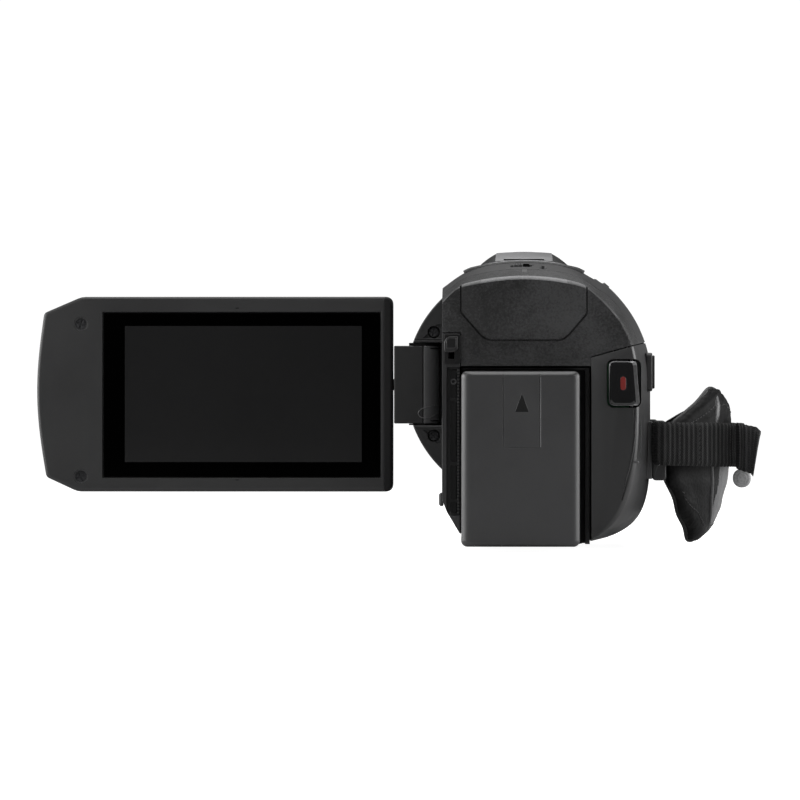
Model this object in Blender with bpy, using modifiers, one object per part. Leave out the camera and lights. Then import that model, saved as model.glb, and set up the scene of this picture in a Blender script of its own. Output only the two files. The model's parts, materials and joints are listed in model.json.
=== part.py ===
"""Hand-held camcorder with a swung-out LCD, battery on the back and a hand strap.

Frame: metres, +Z up, +Y along the lens towards the subject, +X on the hand
strap side.  The flat underside is at Z = 0 and the origin lies on it, straight
below the lens axis.  Left and right are as seen from behind.
"""
import math

import bmesh
import bpy
from mathutils import Matrix, Vector

MM = 0.001             # every size below is in millimetres

# ---- driving dimensions ------------------------------------------------------
AXIS_Z = 43.0          # height of the lens axis
DRUM_R = 33.2          # round body radius
GRIP_R = 33.9          # upper right of the body, a little fuller
WALL = 2.0             # casing wall
GAP = 0.3              # clearance between separate pieces
HALF_GAP = GAP / 2
WIDE_GAP = 0.4         # clearance round top buttons, tripod socket and lens barrel
SCREW_GAP = 0.35       # clearance round screw heads
REAR_Y = -66.0         # rear face
SHOULDER_Y = -45.0     # where the rear shoulder reaches the full section
BODY_Y = 36.7          # front end of the grip section
LEFT_X = -21.6         # flat left wall, recess for the folded LCD
GRIP_X = 33.5          # right wall
HINGE_X, HINGE_Y = -28.0, 42.0   # vertical LCD hinge
TILT_Z = 42.8          # LCD tilt axis height

X_AXIS, Y_AXIS, Z_AXIS = (1, 0, 0), (0, 1, 0), (0, 0, 1)

# base colour, roughness, metallic
LOOKS = {
    "shell": ((0.022, 0.022, 0.024), 0.55, 0.0),
    "smooth": ((0.018, 0.018, 0.019), 0.35, 0.0),
    "gloss": ((0.006, 0.006, 0.007), 0.08, 0.0),
    "satin": ((0.20, 0.20, 0.21), 0.35, 0.6),
    "steel": ((0.45, 0.45, 0.46), 0.35, 1.0),
    "brass": ((0.62, 0.47, 0.22), 0.35, 1.0),
    "glass": ((0.01, 0.01, 0.012), 0.04, 0.0),
    "board": ((0.02, 0.12, 0.05), 0.5, 0.0),
    "web": ((0.02, 0.02, 0.021), 0.85, 0.0),
    "leather": ((0.025, 0.025, 0.026), 0.6, 0.0),
    "rubber": ((0.02, 0.02, 0.02), 0.8, 0.0),
}

for item in list(bpy.data.objects):
    bpy.data.objects.remove(item, do_unlink=True)

PARTS = bpy.data.collections.new("camcorder")
CUTTERS = bpy.data.collections.new("cutters")
bpy.context.scene.collection.children.link(PARTS)
bpy.context.scene.collection.children.link(CUTTERS)


# ---- objects; without a look, an object is a hidden boolean tool -------------
def material(name, colour, roughness, metallic):
    result = bpy.data.materials.new(name)
    result.use_nodes = True
    inputs = result.node_tree.nodes["Principled BSDF"].inputs
    inputs["Base Color"].default_value = (*colour, 1.0)
    inputs["Roughness"].default_value = roughness
    inputs["Metallic"].default_value = metallic
    return result


def link(name, mesh, look):
    part = bpy.data.objects.new(name, mesh)
    if look:
        PARTS.objects.link(part)
        mesh.materials.append(material(name + "_mat", *LOOKS[look]))
    else:
        CUTTERS.objects.link(part)
        part.hide_render = True
        part.display_type = "WIRE"
    return part


def add(name, shape, look):
    """Turn a bmesh into an object, smooth shaded up to 35 degrees."""
    bmesh.ops.recalc_face_normals(shape, faces=shape.faces)
    mesh = bpy.data.meshes.new(name)
    shape.to_mesh(mesh)
    shape.free()
    part = link(name, mesh, look)
    if look:
        mesh.shade_smooth()
        mesh.set_sharp_from_angle(angle=math.radians(35))
    return part


def round_edges(part, width, segments=2):
    bevel = part.modifiers.new("edges", "BEVEL")
    bevel.width = width * MM
    bevel.segments = segments
    bevel.limit_method = "ANGLE"
    bevel.angle_limit = math.radians(40)


def box(name, limits, look=None, bevel=0.0, segments=2):
    """Box from its limits (x0, x1, y0, y1, z0, z1)."""
    pairs = list(zip(limits[0::2], limits[1::2]))
    shape = bmesh.new()
    bmesh.ops.create_cube(shape, size=1.0)
    bmesh.ops.scale(shape, vec=[(high - low) * MM for low, high in pairs], verts=shape.verts)
    bmesh.ops.translate(shape, vec=[(low + high) / 2 * MM for low, high in pairs],
                        verts=shape.verts)
    part = add(name, shape, look)
    if bevel:
        round_edges(part, bevel, segments)
    return part


def cylinder(name, centre, axis, radius, length, segments, look=None):
    shape = bmesh.new()
    bmesh.ops.create_cone(shape, cap_ends=True, segments=segments, radius1=radius * MM,
                          radius2=radius * MM, depth=length * MM)
    turn = Vector(Z_AXIS).rotation_difference(Vector(axis).normalized()).to_matrix().to_4x4()
    bmesh.ops.transform(shape, matrix=Matrix.Translation(Vector(centre) * MM) @ turn,
                        verts=shape.verts)
    return add(name, shape, look)


def prism(name, outline, plane, low, high, look=None):
    """Flat outline filled as a 2D curve and given a thickness from low to high.

    Plane "XZ" runs along Y, "YZ" along X, "XY" along Z.
    """
    curve = bpy.data.curves.new(name + "_outline", "CURVE")
    curve.dimensions = "2D"
    curve.fill_mode = "BOTH"
    curve.extrude = (high - low) / 2 * MM
    spline = curve.splines.new("POLY")
    spline.points.add(len(outline) - 1)
    for point, (across, up) in zip(spline.points, outline):
        point.co = (across * MM, up * MM, 0, 1)
    spline.use_cyclic_u = True
    holder = bpy.data.objects.new(name + "_tmp", curve)
    bpy.context.scene.collection.objects.link(holder)
    depsgraph = bpy.context.evaluated_depsgraph_get()
    mesh = bpy.data.meshes.new_from_object(holder.evaluated_get(depsgraph))
    shape = bmesh.new()
    shape.from_mesh(mesh)
    bpy.data.objects.remove(holder, do_unlink=True)
    bpy.data.curves.remove(curve)
    bpy.data.meshes.remove(mesh)
    # weld the caps to the sides and merge the fill triangles
    bmesh.ops.remove_doubles(shape, verts=shape.verts, dist=1e-6)
    bmesh.ops.dissolve_limit(shape, angle_limit=math.radians(1), verts=shape.verts,
                             edges=shape.edges)
    middle = (low + high) / 2 * MM
    turn = {"XZ": Matrix(((1, 0, 0, 0), (0, 0, -1, middle), (0, 1, 0, 0), (0, 0, 0, 1))),
            "YZ": Matrix(((0, 0, 1, middle), (1, 0, 0, 0), (0, 1, 0, 0), (0, 0, 0, 1))),
            "XY": Matrix.Translation((0, 0, middle))}[plane]
    bmesh.ops.transform(shape, matrix=turn, verts=shape.verts)
    return add(name, shape, look)


def loft(name, rings, look=None):
    """Skin between unlike closed sections with the same point count."""
    shape = bmesh.new()
    rows = [[shape.verts.new(Vector(point) * MM) for point in ring] for ring in rings]
    count = len(rows[0])
    for near, far in zip(rows, rows[1:]):
        for i in range(count):
            j = (i + 1) % count
            shape.faces.new((near[i], near[j], far[j], far[i]))
    shape.faces.new(rows[0])
    shape.faces.new(rows[-1])
    return add(name, shape, look)


def turned(name, profile, steps, look=None, at=(0, 0, AXIS_Z), upright=False):
    """Closed profile of (radius, position along the axis) turned about Y, or Z if upright."""
    mesh = bpy.data.meshes.new(name)
    count = len(profile)
    mesh.from_pydata([(radius * MM, 0, along * MM) for radius, along in profile],
                     [(i, (i + 1) % count) for i in range(count)], [])
    part = link(name, mesh, look)
    screw = part.modifiers.new("turn", "SCREW")
    screw.steps = screw.render_steps = steps
    screw.use_smooth_shade = True
    screw.merge_threshold = 1e-5
    part.location = Vector(at) * MM
    if not upright:
        part.rotation_euler = (-math.pi / 2, 0, 0)
    return part


def cut(part, *tools, how="DIFFERENCE", solver="EXACT"):
    for tool in tools:
        boolean = part.modifiers.new(how.lower() + "_" + tool.name, "BOOLEAN")
        boolean.operation = how
        boolean.object = tool
        boolean.solver = solver


# ---- outlines ----------------------------------------------------------------
def polar(centre_x, centre_z, radius, degrees):
    angle = math.radians(degrees)
    return centre_x + radius * math.cos(angle), centre_z + radius * math.sin(angle)


def arc(centre_x, centre_z, radius, start, end, count):
    return [polar(centre_x, centre_z, radius, start + (end - start) * i / (count - 1))
            for i in range(count)]


def rounded(x0, x1, z0, z1, radius, count=4):
    """Rectangle with rounded corners, count points to each corner."""
    return (arc(x1 - radius, z0 + radius, radius, -90, 0, count)
            + arc(x1 - radius, z1 - radius, radius, 0, 90, count)
            + arc(x0 + radius, z1 - radius, radius, 90, 180, count)
            + arc(x0 + radius, z0 + radius, radius, 180, 270, count))


def inset(outline, distance):
    """Move a closed counterclockwise outline inwards along its mean edge normals."""
    result = []
    for i, point in enumerate(outline):
        here = Vector(point)
        before = (here - Vector(outline[i - 1])).normalized()
        after = (Vector(outline[(i + 1) % len(outline)]) - here).normalized()
        edge_normal = Vector((-before.y, before.x))
        normal = (edge_normal + Vector((-after.y, after.x))).normalized()
        # the floor keeps sharp corners from shooting far in
        result.append(tuple(here + normal * (distance / max(0.5, normal.dot(edge_normal)))))
    return result


def tube(outer, inner, start, end):
    """Profile of a plain tube for turned()."""
    return [(outer, end), (outer, start), (inner, start), (inner, end)]


def at_y(outline, y):
    return [(x, y, z) for x, z in outline]


# ---- body sections, (x, z), clockwise seen from behind -----------------------
DRUM_ANGLES = (122, 115, 107, 98, 90, 82, 73, 65, 57)
GRIP_ANGLES = (49, 41, 33, 25, 16, 7)
DECK_Z = 75.3          # deck height on the centre plane
DECK_CROWN = 116       # the deck falls away by x squared over this


def full_section():
    points = [(-15.0, 0.0), (-20.4, 9.0), (LEFT_X, 12.0), (LEFT_X, 40.0),
              (LEFT_X, AXIS_Z + math.sqrt(DRUM_R ** 2 - LEFT_X ** 2))]
    points += [polar(0, AXIS_Z, DRUM_R, angle) for angle in DRUM_ANGLES]
    for angle in GRIP_ANGLES:
        x, z = polar(0, AXIS_Z, GRIP_R, angle)
        points.append((min(x, GRIP_X), z))
    points += [(GRIP_X, 40.0), (GRIP_X, 30.0), (33.4, 21.0), (32.8, 14.5), (31.2, 9.2),
               (28.3, 5.4), (23.5, 2.6), (17.5, 1.0), (13.5, 0.0)]
    # the deck is flatter than the round drum in the middle
    return [(x, min(z, DECK_Z - x * x / DECK_CROWN) if z > 70 and abs(x) < 14 else z)
            for x, z in points]


FULL_SECTION = full_section()
REAR_SECTION = [
    (-15.0, 0.4), (-20.2, 9.2), (-21.4, 12.4), (-21.4, 40.0), (-21.4, 63.8),
    (-19.2, 66.1), (-16.8, 67.8), (-11.5, 69.0), (-5.8, 69.8), (0.0, 70.1),
    (5.8, 69.8), (11.5, 69.0), (16.4, 67.6), (19.6, 65.1), (22.4, 62.2),
    (24.9, 59.0), (26.6, 56.0), (27.9, 52.8), (28.7, 49.0), (29.2, 45.0),
    (29.4, 40.0), (29.3, 30.0), (28.4, 21.5), (26.6, 14.5), (24.4, 9.4),
    (21.8, 5.8), (18.4, 2.9), (15.6, 1.2), (13.2, 0.4)]
# y, share of the full section
STATIONS = [(REAR_Y, 0.0), (-65.0, 0.20), (-62.0, 0.36), (-57.7, 0.55), (-51.0, 0.82),
            (SHOULDER_Y, 1.0), (-5.0, 1.0), (BODY_Y, 1.0)]


def body_section(share):
    return [(x + (full_x - x) * share, z + (full_z - z) * share)
            for (x, z), (full_x, full_z) in zip(REAR_SECTION, FULL_SECTION)]


def body(name):
    """Whole outer body, from which each cover is cut."""
    return loft(name, [at_y(body_section(share), y) for y, share in STATIONS], "shell")


def body_cavity(name):
    """Inside of the body, open through the front end."""
    stations = [(REAR_Y + WALL, 0.0), *STATIONS[2:-1], (BODY_Y + 3, 1.0)]
    return loft(name, [at_y(inset(body_section(share)[::-1], WALL)[::-1], y)
                       for y, share in stations])


cavity = body_cavity("cavity")

# ---- split lines between the covers ------------------------------------------
FAR_LEFT, FAR_RIGHT = -30, 40                # tool limits outside the body
FAR_REAR, FAR_FRONT, FAR_LOW, FAR_TOP = -75, 60, -5.0, 90
DECK_Y = -57.7             # rear cover to top cover
SPLIT_X = 17.5             # inner edge of the grip cover
SLANT_Z = (49.7, 55.9)     # height of the slanting split at SPLIT_X and at FAR_RIGHT
LEFT_SEAM_Z = 61.9         # left cover to top cover
LEFT_STEP_Z = 55.9         # top of the left cover behind DECK_Y
LEFT_COVER_X = -16.8       # inner edge of the left cover
INNER_X = LEFT_COVER_X + GAP    # left edge of the pieces next to it
REAR_FLOOR_Z = 47.4        # underside of the rear cover, above the battery
BAY_FRONT_Y = -47.2        # front of the battery bay

SLANT_TOP = [(SPLIT_X, SLANT_Z[0] + HALF_GAP), (FAR_RIGHT, SLANT_Z[1] + HALF_GAP),
             (FAR_RIGHT, FAR_TOP), (FAR_LEFT, FAR_TOP)]

# ---- rear cover --------------------------------------------------------------
rear = body("rear_cover")
cut(rear, prism("rear_region", [(FAR_LEFT, REAR_FLOOR_Z), (SPLIT_X, REAR_FLOOR_Z), *SLANT_TOP],
                "XZ", FAR_REAR, DECK_Y - HALF_GAP), how="INTERSECT")
hollow = body_cavity("rear_hollow")
cut(hollow, box("rear_hollow_room", (INNER_X + WALL, FAR_RIGHT, -80, FAR_FRONT,
                                     REAR_FLOOR_Z + WALL, FAR_TOP)), how="INTERSECT")
cut(rear, hollow,
    box("latch_corner", (FAR_LEFT, INNER_X, -80, -50, 40, LEFT_STEP_Z + GAP)))

# ---- top cover ---------------------------------------------------------------
top = body("top_cover")
cut(top, prism("top_region", [(FAR_LEFT, LEFT_SEAM_Z + HALF_GAP), (5, LEFT_SEAM_Z + HALF_GAP),
                              (15, SLANT_Z[0] + HALF_GAP), *SLANT_TOP],
               "XZ", DECK_Y + HALF_GAP, FAR_FRONT), how="INTERSECT")
cut(top, cavity)

# ---- grip cover, right side --------------------------------------------------
RECORD = (22.2, 30.3, 37.0, 48.7)    # record button x0, x1, z0, z1
RECORD_MARGIN = 0.5
grip = body("grip_cover")
grip_x = SPLIT_X + HALF_GAP
cut(grip, prism("grip_region", [(grip_x, FAR_LOW), (FAR_RIGHT, FAR_LOW),
                                (FAR_RIGHT, SLANT_Z[1] - HALF_GAP),
                                (grip_x, SLANT_Z[0] - HALF_GAP)],
                "XZ", FAR_REAR, FAR_FRONT), how="INTERSECT")
rec_x0, rec_x1, rec_z0, rec_z1 = RECORD
cut(grip, cavity,
    prism("rec_hole", rounded(rec_x0 - RECORD_MARGIN, rec_x1 + RECORD_MARGIN,
                              rec_z0 - RECORD_MARGIN, rec_z1 + RECORD_MARGIN, 1.8),
          "XZ", FAR_REAR, -58))

# ---- left cover with its two doors -------------------------------------------
DOOR_X = (LEFT_X + 0.05, LEFT_X + 1.65)
# y0, y1, z0, z1
DOORS = {"terminal": (-38.0, -8.0, 18.0, 48.0),
         "card": (-62.0, -42.0, 13.5, 34.0)}
left = body("left_cover")
cut(left, prism("left_region", [(FAR_REAR, FAR_LOW), (FAR_FRONT, FAR_LOW),
                                (FAR_FRONT, LEFT_SEAM_Z - HALF_GAP),
                                (DECK_Y + HALF_GAP, LEFT_SEAM_Z - HALF_GAP),
                                (DECK_Y + HALF_GAP, LEFT_STEP_Z), (FAR_REAR, LEFT_STEP_Z)],
                "YZ", -40, LEFT_COVER_X), how="INTERSECT")
cut(left, cavity)
for door, (y0, y1, z0, z1) in DOORS.items():
    cut(left, box(door + "_hole", (-25, -17, y0 - GAP, y1 + GAP, z0 - GAP, z1 + GAP)),
        solver="MANIFOLD")
    box(door + "_cover", (*DOOR_X, y0, y1, z0, z1), "smooth", bevel=0.3, segments=1)

# ---- power button on the left wall -------------------------------------------
POWER_Y, POWER_Z, POWER_R = 8, 40, 3.0
cut(left, cylinder("power_hole", (-20, POWER_Y, POWER_Z), X_AXIS, POWER_R + GAP, 10, 24))
cylinder("power_button", (-20.6, POWER_Y, POWER_Z), X_AXIS, POWER_R, 2.6, 24, "smooth")

# ---- sockets behind the terminal door, card slot behind the card door --------
socket_block = box("av_socket", (-19.3, -15.6, -36.0, -12.0, 22.0, 44.0), "steel")
cut(socket_block,
    box("av_mouth_1", (-21, -17.0, -33.5, -19.5, 37.0, 41.5)),
    box("av_mouth_2", (-21, -17.0, -32.0, -24.0, 29.5, 32.5)),
    cylinder("av_mouth_3", (-18.5, -17.5, 27.5), X_AXIS, 1.8, 4.0, 20))
card_slot = box("card_slot", (-19.3, -17.3, -61.0, -43.5, 15.0, 32.5), "steel")
cut(card_slot, box("card_mouth", (-19.0, -17.6, -70, -45.0, 16.0, 31.5)))
box("memory_card", (-18.9, -17.9, -60.5, -45.5, 16.4, 31.1), "smooth")

# ---- base cover with the tripod socket ---------------------------------------
SOCKET_Y, SOCKET_R = 14.0, 5.9
base = body("base_cover")
base_right = SPLIT_X - HALF_GAP
cut(base, prism("base_region", [(INNER_X, FAR_LOW), (base_right, FAR_LOW),
                                (base_right, 6.0), (INNER_X, 6.0)],
                "XZ", BAY_FRONT_Y + GAP, FAR_FRONT), how="INTERSECT")
cut(base, cavity,
    cylinder("socket_hole", (0, SOCKET_Y, 0), Z_AXIS, SOCKET_R + WIDE_GAP, 10, 32))
turned("tripod_socket", tube(SOCKET_R, 3.1, 0.3, 7.8), 32, "steel",
       at=(0, SOCKET_Y, 0), upright=True)

# ---- battery bay, contacts and battery ---------------------------------------
CONTACT_HALF = 10.0        # half width of the contact block
CONTACT_Z = (8.5, 14.0)
bay = box("battery_bay", (INNER_X, 17.3, -60.0, BAY_FRONT_Y, 0.6, 47.0), "rubber")
cut(bay, box("bay_room", (-18.0, 16.1, -70.0, BAY_FRONT_Y - WALL, -5.0, 46.4)),
    box("contact_hole", (-CONTACT_HALF - GAP, CONTACT_HALF + GAP, -55, -45,
                         CONTACT_Z[0] - GAP, CONTACT_Z[1] + GAP)))
box("battery_contacts", (-CONTACT_HALF, CONTACT_HALF, -49.6, -44.6, *CONTACT_Z), "brass")
battery = box("battery_pack", (-16.3, 14.5, -82.0, -50.0, 0.4, 46.0), "smooth",
              bevel=1.4, segments=3)
cut(battery, box("contact_slot", (-11.0, 11.0, -51.2, -49.0, -2.0, 15.0)))

# ---- release block at the upper left of the battery --------------------------
latch = box("battery_latch", (-20.9, -17.1, -67.5, REAR_Y - GAP, 51.1, 55.5), "smooth",
            bevel=0.5)
cut(latch, box("latch_stem", (-19.6, -18.4, -66.9, -63.4, 52.4, 54.2)), how="UNION")
cut(left, box("latch_slot", (-19.9, -18.1, -70, -60, 49.2, 54.6)))

# ---- record button on the rear face and the switch in front of it ------------
CHAMFER = 1.4          # cut corners on the button's left side
RIGHT_LEAN = 0.8       # how far its right edge leans in at the top
record = prism("rec_button", [(rec_x0, rec_z0 + CHAMFER), (rec_x0 + CHAMFER, rec_z0),
                              (rec_x1, rec_z0), (rec_x1 - RIGHT_LEAN, rec_z1),
                              (rec_x0 + CHAMFER, rec_z1), (rec_x0, rec_z1 - CHAMFER)],
               "XZ", -67.0, -62.6, "gloss")
round_edges(record, 0.35)
box("rec_switch", (20.5, 27.6, -61.2, -59.9, 36.0, 48.4), "board")

# ---- power inlet and its cover on the right side -----------------------------
INLET = (-52.0, -38.0, 41.5, 50.3)    # cover y0, y1, z0, z1
y0, y1, z0, z1 = INLET
cut(grip, box("dc_hole", (25, FAR_RIGHT, y0 + 3, y1 - 3, z0 + 2, z1 - 2)))
box("dc_cover", (GRIP_X + 0.45, GRIP_X + 1.45, *INLET), "rubber", bevel=0.4)
cylinder("dc_socket", (27.2, (y0 + y1) / 2, (z0 + z1) / 2), X_AXIS, 2.6, 7.0, 20, "steel")

# ---- mode switch and charge lamp hole in the deck ----------------------------
LAMP_X, LAMP_HALF = 5.0, 0.9
cut(top, box("mode_slot", (-3.6, 2.2, -54.6, -51.4, 60, FAR_TOP)),
    box("lamp_hole", (LAMP_X - LAMP_HALF, LAMP_X + LAMP_HALF, -56.2, -54.4, 60, FAR_TOP)))
box("mode_switch", (-2.9, -0.3, -54.1, -51.9, 70.5, 74.6), "smooth", bevel=0.25)

# ---- zoom lever and photo button on the upper right shoulder -----------------
SHOULDER_ANGLE = math.radians(50)     # above the +X direction
SHOULDER_OUT = Vector((math.cos(SHOULDER_ANGLE), 0, math.sin(SHOULDER_ANGLE)))
ZOOM_Y, ZOOM_R = -8, 5.7
PHOTO_Y, PHOTO_R = -26, 3.7


def on_shoulder(y, distance):
    """Point on the shoulder ray, at a distance from the lens axis."""
    return Vector((0, y, AXIS_Z)) + SHOULDER_OUT * distance


cut(top, cylinder("zoom_pocket", on_shoulder(ZOOM_Y, 34.0), SHOULDER_OUT,
                  ZOOM_R + WIDE_GAP, 9.0, 32),
    cylinder("photo_pocket", on_shoulder(PHOTO_Y, 33.0), SHOULDER_OUT,
             PHOTO_R + WIDE_GAP, 10.0, 28))
lever = cylinder("zoom_lever", on_shoulder(ZOOM_Y, 32.5), SHOULDER_OUT, ZOOM_R, 2.2, 32, "smooth")
ridge = box("zoom_ridge", (-1.3, 1.3, -4.9, 4.9, -0.6, 1.5))
ridge.rotation_euler = (0, math.pi / 2 - SHOULDER_ANGLE, 0)
ridge.location = on_shoulder(ZOOM_Y, 33.5) * MM
cut(lever, ridge, how="UNION")
cylinder("photo_button", on_shoulder(PHOTO_Y, 31.6), SHOULDER_OUT, PHOTO_R, 4.6, 28, "smooth")

# ---- front drum --------------------------------------------------------------
drum = turned("front_housing", [(DRUM_R, 78.0), (DRUM_R, 37.0), (31.2, 37.0), (31.2, 76.0),
                                (27.4, 76.0), (27.4, 86.0), (29.2, 86.0), (29.2, 78.0)],
              64, "shell")
cut(drum, box("lobe_room", (-40, -21.9, 30, 47.2, 0, 90)))

# ---- hinge covers above and below the arm, bracket and pin -------------------
LOBE_X = -22.3             # flat right side of the hinge covers
LOBE_FLAT = 11.6           # flat face, above or below the lens axis
PIN_HOLE_RISE = 15.2       # pin hole centre, likewise
SCREW_RISE = 14.5          # screw, likewise
HINGE_SCREW_X, HINGE_SCREW_R = -25.2, 1.4
PIN_R = 1.2
BRACKET_FRONT_Y = 48.6
BRACKET_Z = (31.8, 54.3)


def lobe_outline(side):
    """Drum segment left of LOBE_X; side is 1 above the arm, -1 below it."""
    start = 180 - math.degrees(math.asin(side * LOBE_FLAT / DRUM_R))
    edge = math.degrees(math.acos(LOBE_X / DRUM_R))
    return (arc(0, AXIS_Z, DRUM_R, start, edge if side > 0 else 360 - edge, 8)
            + [(LOBE_X, AXIS_Z + side * LOBE_FLAT)])


for place, side in (("upper", 1), ("lower", -1)):
    lobe = prism("hinge_cover_" + place, lobe_outline(side), "XZ", 37.2, 46.9, "shell")
    screw_z = AXIS_Z + side * SCREW_RISE
    cut(lobe,
        cylinder("pin_hole_" + place, (HINGE_X, HINGE_Y, AXIS_Z + side * PIN_HOLE_RISE),
                 Z_AXIS, PIN_R + GAP, 8.0, 20),
        cylinder("screw_hole_" + place, (HINGE_SCREW_X, 37.5, screw_z), Y_AXIS,
                 HINGE_SCREW_R + SCREW_GAP, 3.2, 20))
    cylinder("hinge_screw_" + place, (HINGE_SCREW_X, 38.1, screw_z), Y_AXIS,
             HINGE_SCREW_R, 1.2, 20, "steel")
bracket = box("hinge_bracket", (-21.5, -19.9, 37.3, BRACKET_FRONT_Y, *BRACKET_Z), "steel")
cut(bracket, box("bracket_front", (-28.5, -20.0, BRACKET_FRONT_Y - 1, BRACKET_FRONT_Y,
                                   *BRACKET_Z)), how="UNION")
cylinder("hinge_pin", (HINGE_X, HINGE_Y, AXIS_Z), Z_AXIS, PIN_R, 29.2, 20, "steel")

# ---- LCD arm and tilt shaft --------------------------------------------------
ARM_HALF = 4.5             # half thickness and end radius of the arm
ARM_END_X = -36.4
SHAFT_R = 1.6
arm = prism("hinge_arm", [(ARM_END_X, HINGE_Y - ARM_HALF),
                          *arc(HINGE_X, HINGE_Y, ARM_HALF, -90, 90, 13),
                          (ARM_END_X, HINGE_Y + ARM_HALF)], "XY", 31.9, 53.7, "smooth")
cut(arm, cylinder("arm_bore", (HINGE_X, HINGE_Y, 42), Z_AXIS, PIN_R + GAP, 40, 20),
    cylinder("shaft_bore", (ARM_END_X, HINGE_Y, TILT_Z), X_AXIS, SHAFT_R + GAP, 8.0, 20))
cylinder("tilt_shaft", (-38.2, HINGE_Y, TILT_Z), X_AXIS, SHAFT_R, 10.6, 20, "steel")

# ---- LCD panel ---------------------------------------------------------------
LCD_RIGHT_X, LCD_Z0, LCD_Z1 = -36.7, 12.8, 67.45
LCD_REAR_Y, LCD_SPLIT_Y, LCD_FRONT_Y = 37.3, 39.7, 46.7
LCD_CORNER_R = 2.2                    # right-hand corners
LCD_EDGE = ((-134.6, 62.9), (-134.0, 16.9))    # ends of the bowed left edge, x and z
LCD_BOW = 2.3
GLASS = (-117.9, -40.3, 16.9, 62.9)   # x0, x1, z0, z1
GLASS_SEAT_Y = 38.6
LCD_SCREW_X, LCD_SCREW_R = -124.2, 1.6


def lcd_outline():
    (top_x, top_z), (bottom_x, bottom_z) = LCD_EDGE
    points = [(-124.0, LCD_Z1), LCD_EDGE[0]]
    for i in range(1, 6):
        share = i / 6
        points.append((top_x + (bottom_x - top_x) * share - LCD_BOW * math.sin(math.pi * share),
                       top_z + (bottom_z - top_z) * share))
    points += [LCD_EDGE[1], (-125.4, LCD_Z0)]
    corner_x = LCD_RIGHT_X - LCD_CORNER_R
    return (points + arc(corner_x, LCD_Z0 + LCD_CORNER_R, LCD_CORNER_R, -90, 0, 4)
            + arc(corner_x, LCD_Z1 - LCD_CORNER_R, LCD_CORNER_R, 0, 90, 4))


def glass_box(name, y0, y1, margin, look=None):
    """Box on the glass rectangle, drawn in by margin all round."""
    x0, x1, z0, z1 = GLASS
    return box(name, (x0 + margin, x1 - margin, y0, y1, z0 + margin, z1 - margin), look)


lcd_frame = prism("lcd_frame", lcd_outline(), "XZ", LCD_REAR_Y, LCD_SPLIT_Y, "smooth")
cut(lcd_frame, glass_box("glass_pocket", 30, GLASS_SEAT_Y, -GAP),
    glass_box("display_room", 30, 50, 0.9))
for place, z in (("upper", 59.8), ("lower", 17.1)):
    cut(lcd_frame, cylinder("lcd_screw_hole_" + place[0], (LCD_SCREW_X, LCD_REAR_Y, z), Y_AXIS,
                            LCD_SCREW_R + SCREW_GAP, 3.2, 20))
    cylinder("lcd_screw_" + place, (LCD_SCREW_X, 38.0, z), Y_AXIS, LCD_SCREW_R, 1.2, 20, "smooth")
lcd_back = prism("lcd_back_cover", lcd_outline(), "XZ", LCD_SPLIT_Y + GAP, LCD_FRONT_Y, "smooth")
cut(lcd_back, prism("lcd_back_room", inset(lcd_outline(), 1.6), "XZ", 30, LCD_FRONT_Y - 1.5),
    cylinder("tilt_bore", (-38.0, HINGE_Y, TILT_Z), X_AXIS, SHAFT_R + GAP, 8.0, 20))
glass_box("lcd_glass", 37.45, 38.3, 0, "glass")
glass_box("lcd_display", GLASS_SEAT_Y, 40.1, 1.5, "gloss")


# ---- hood cap on top of the drum ---------------------------------------------
def drum_tool(name, rear_y, inner):
    """Thick tube that cuts a piece to sit just clear of the drum."""
    return turned(name, tube(DRUM_R + GAP, inner, rear_y, 90.0), 64)


CAP_BASE_Z = 70.0
# y, half width, shoulder height, half width of the top, top height
CAP = [(12, 13.2, 74.6, 8.5, 76.4), (34, 13.2, 74.9, 7.8, 79.7), (74, 12.0, 74.6, 7.0, 78.9)]
cap = loft("hood_cap", [at_y([(-half, CAP_BASE_Z), (-half, shoulder_z), (-top_half, top_z),
                              (top_half, top_z), (half, shoulder_z), (half, CAP_BASE_Z)], y)
                        for y, half, shoulder_z, top_half, top_z in CAP], "satin")
cut(cap, drum_tool("cap_under", 0.0, 20.0))

# ---- front chin under the drum -----------------------------------------------
# x, z of the end against the body, then of the front end
CHIN_REAR = [(-15.0, 0.0), (-20.4, 9.0), (LEFT_X, 12.0), (LEFT_X, 16.5), (0, 22.0),
             (GRIP_X, 25.0), (33.4, 21.0), (32.8, 14.5), (31.2, 9.2), (28.3, 5.4),
             (23.5, 2.6), (13.5, 0.0)]
CHIN_FRONT = [(-10.0, 7.0), (-13.0, 10.0), (-15.0, 12.5), (-14.6, 14.0), (0, 20.0),
              (20.0, 21.0), (20.5, 18.0), (20.0, 15.0), (18.5, 12.0), (16.5, 9.5),
              (14.0, 8.0), (8.0, 7.0)]
chin = loft("front_chin", [at_y(CHIN_REAR, 37.0), at_y(CHIN_FRONT, 62.0)], "shell")
cut(chin, drum_tool("chin_under", 20.0, 8.0))

# ---- lens ring, bezel, shutters ----------------------------------------------
MOUTH_X, MOUTH_Z = 18.0, 11.0         # half sizes of the bezel mouth
SHUTTER_R, SHUTTER_HALF_GAP = 27.0, 11.4
turned("lens_ring", tube(33.0, 29.6, 78.4, 85.8), 48, "rubber")
bezel = turned("lens_bezel", [(30.0, 92.0), (32.2, 90.4), (32.2, 86.3), (8.0, 86.3),
                              (8.0, 92.0)], 48, "smooth")
cut(bezel, prism("bezel_mouth", rounded(-MOUTH_X, MOUTH_X, AXIS_Z - MOUTH_Z, AXIS_Z + MOUTH_Z,
                                        7.0, 5), "XZ", 80, 100))
shutter_angle = math.degrees(math.asin(SHUTTER_HALF_GAP / SHUTTER_R))
for place, turn in (("upper", 0), ("lower", 180)):
    prism("lens_shutter_" + place,
          arc(0, AXIS_Z, SHUTTER_R, turn + shutter_angle, turn + 180 - shutter_angle, 15),
          "XZ", 84.2, 85.2, "smooth")

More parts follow.
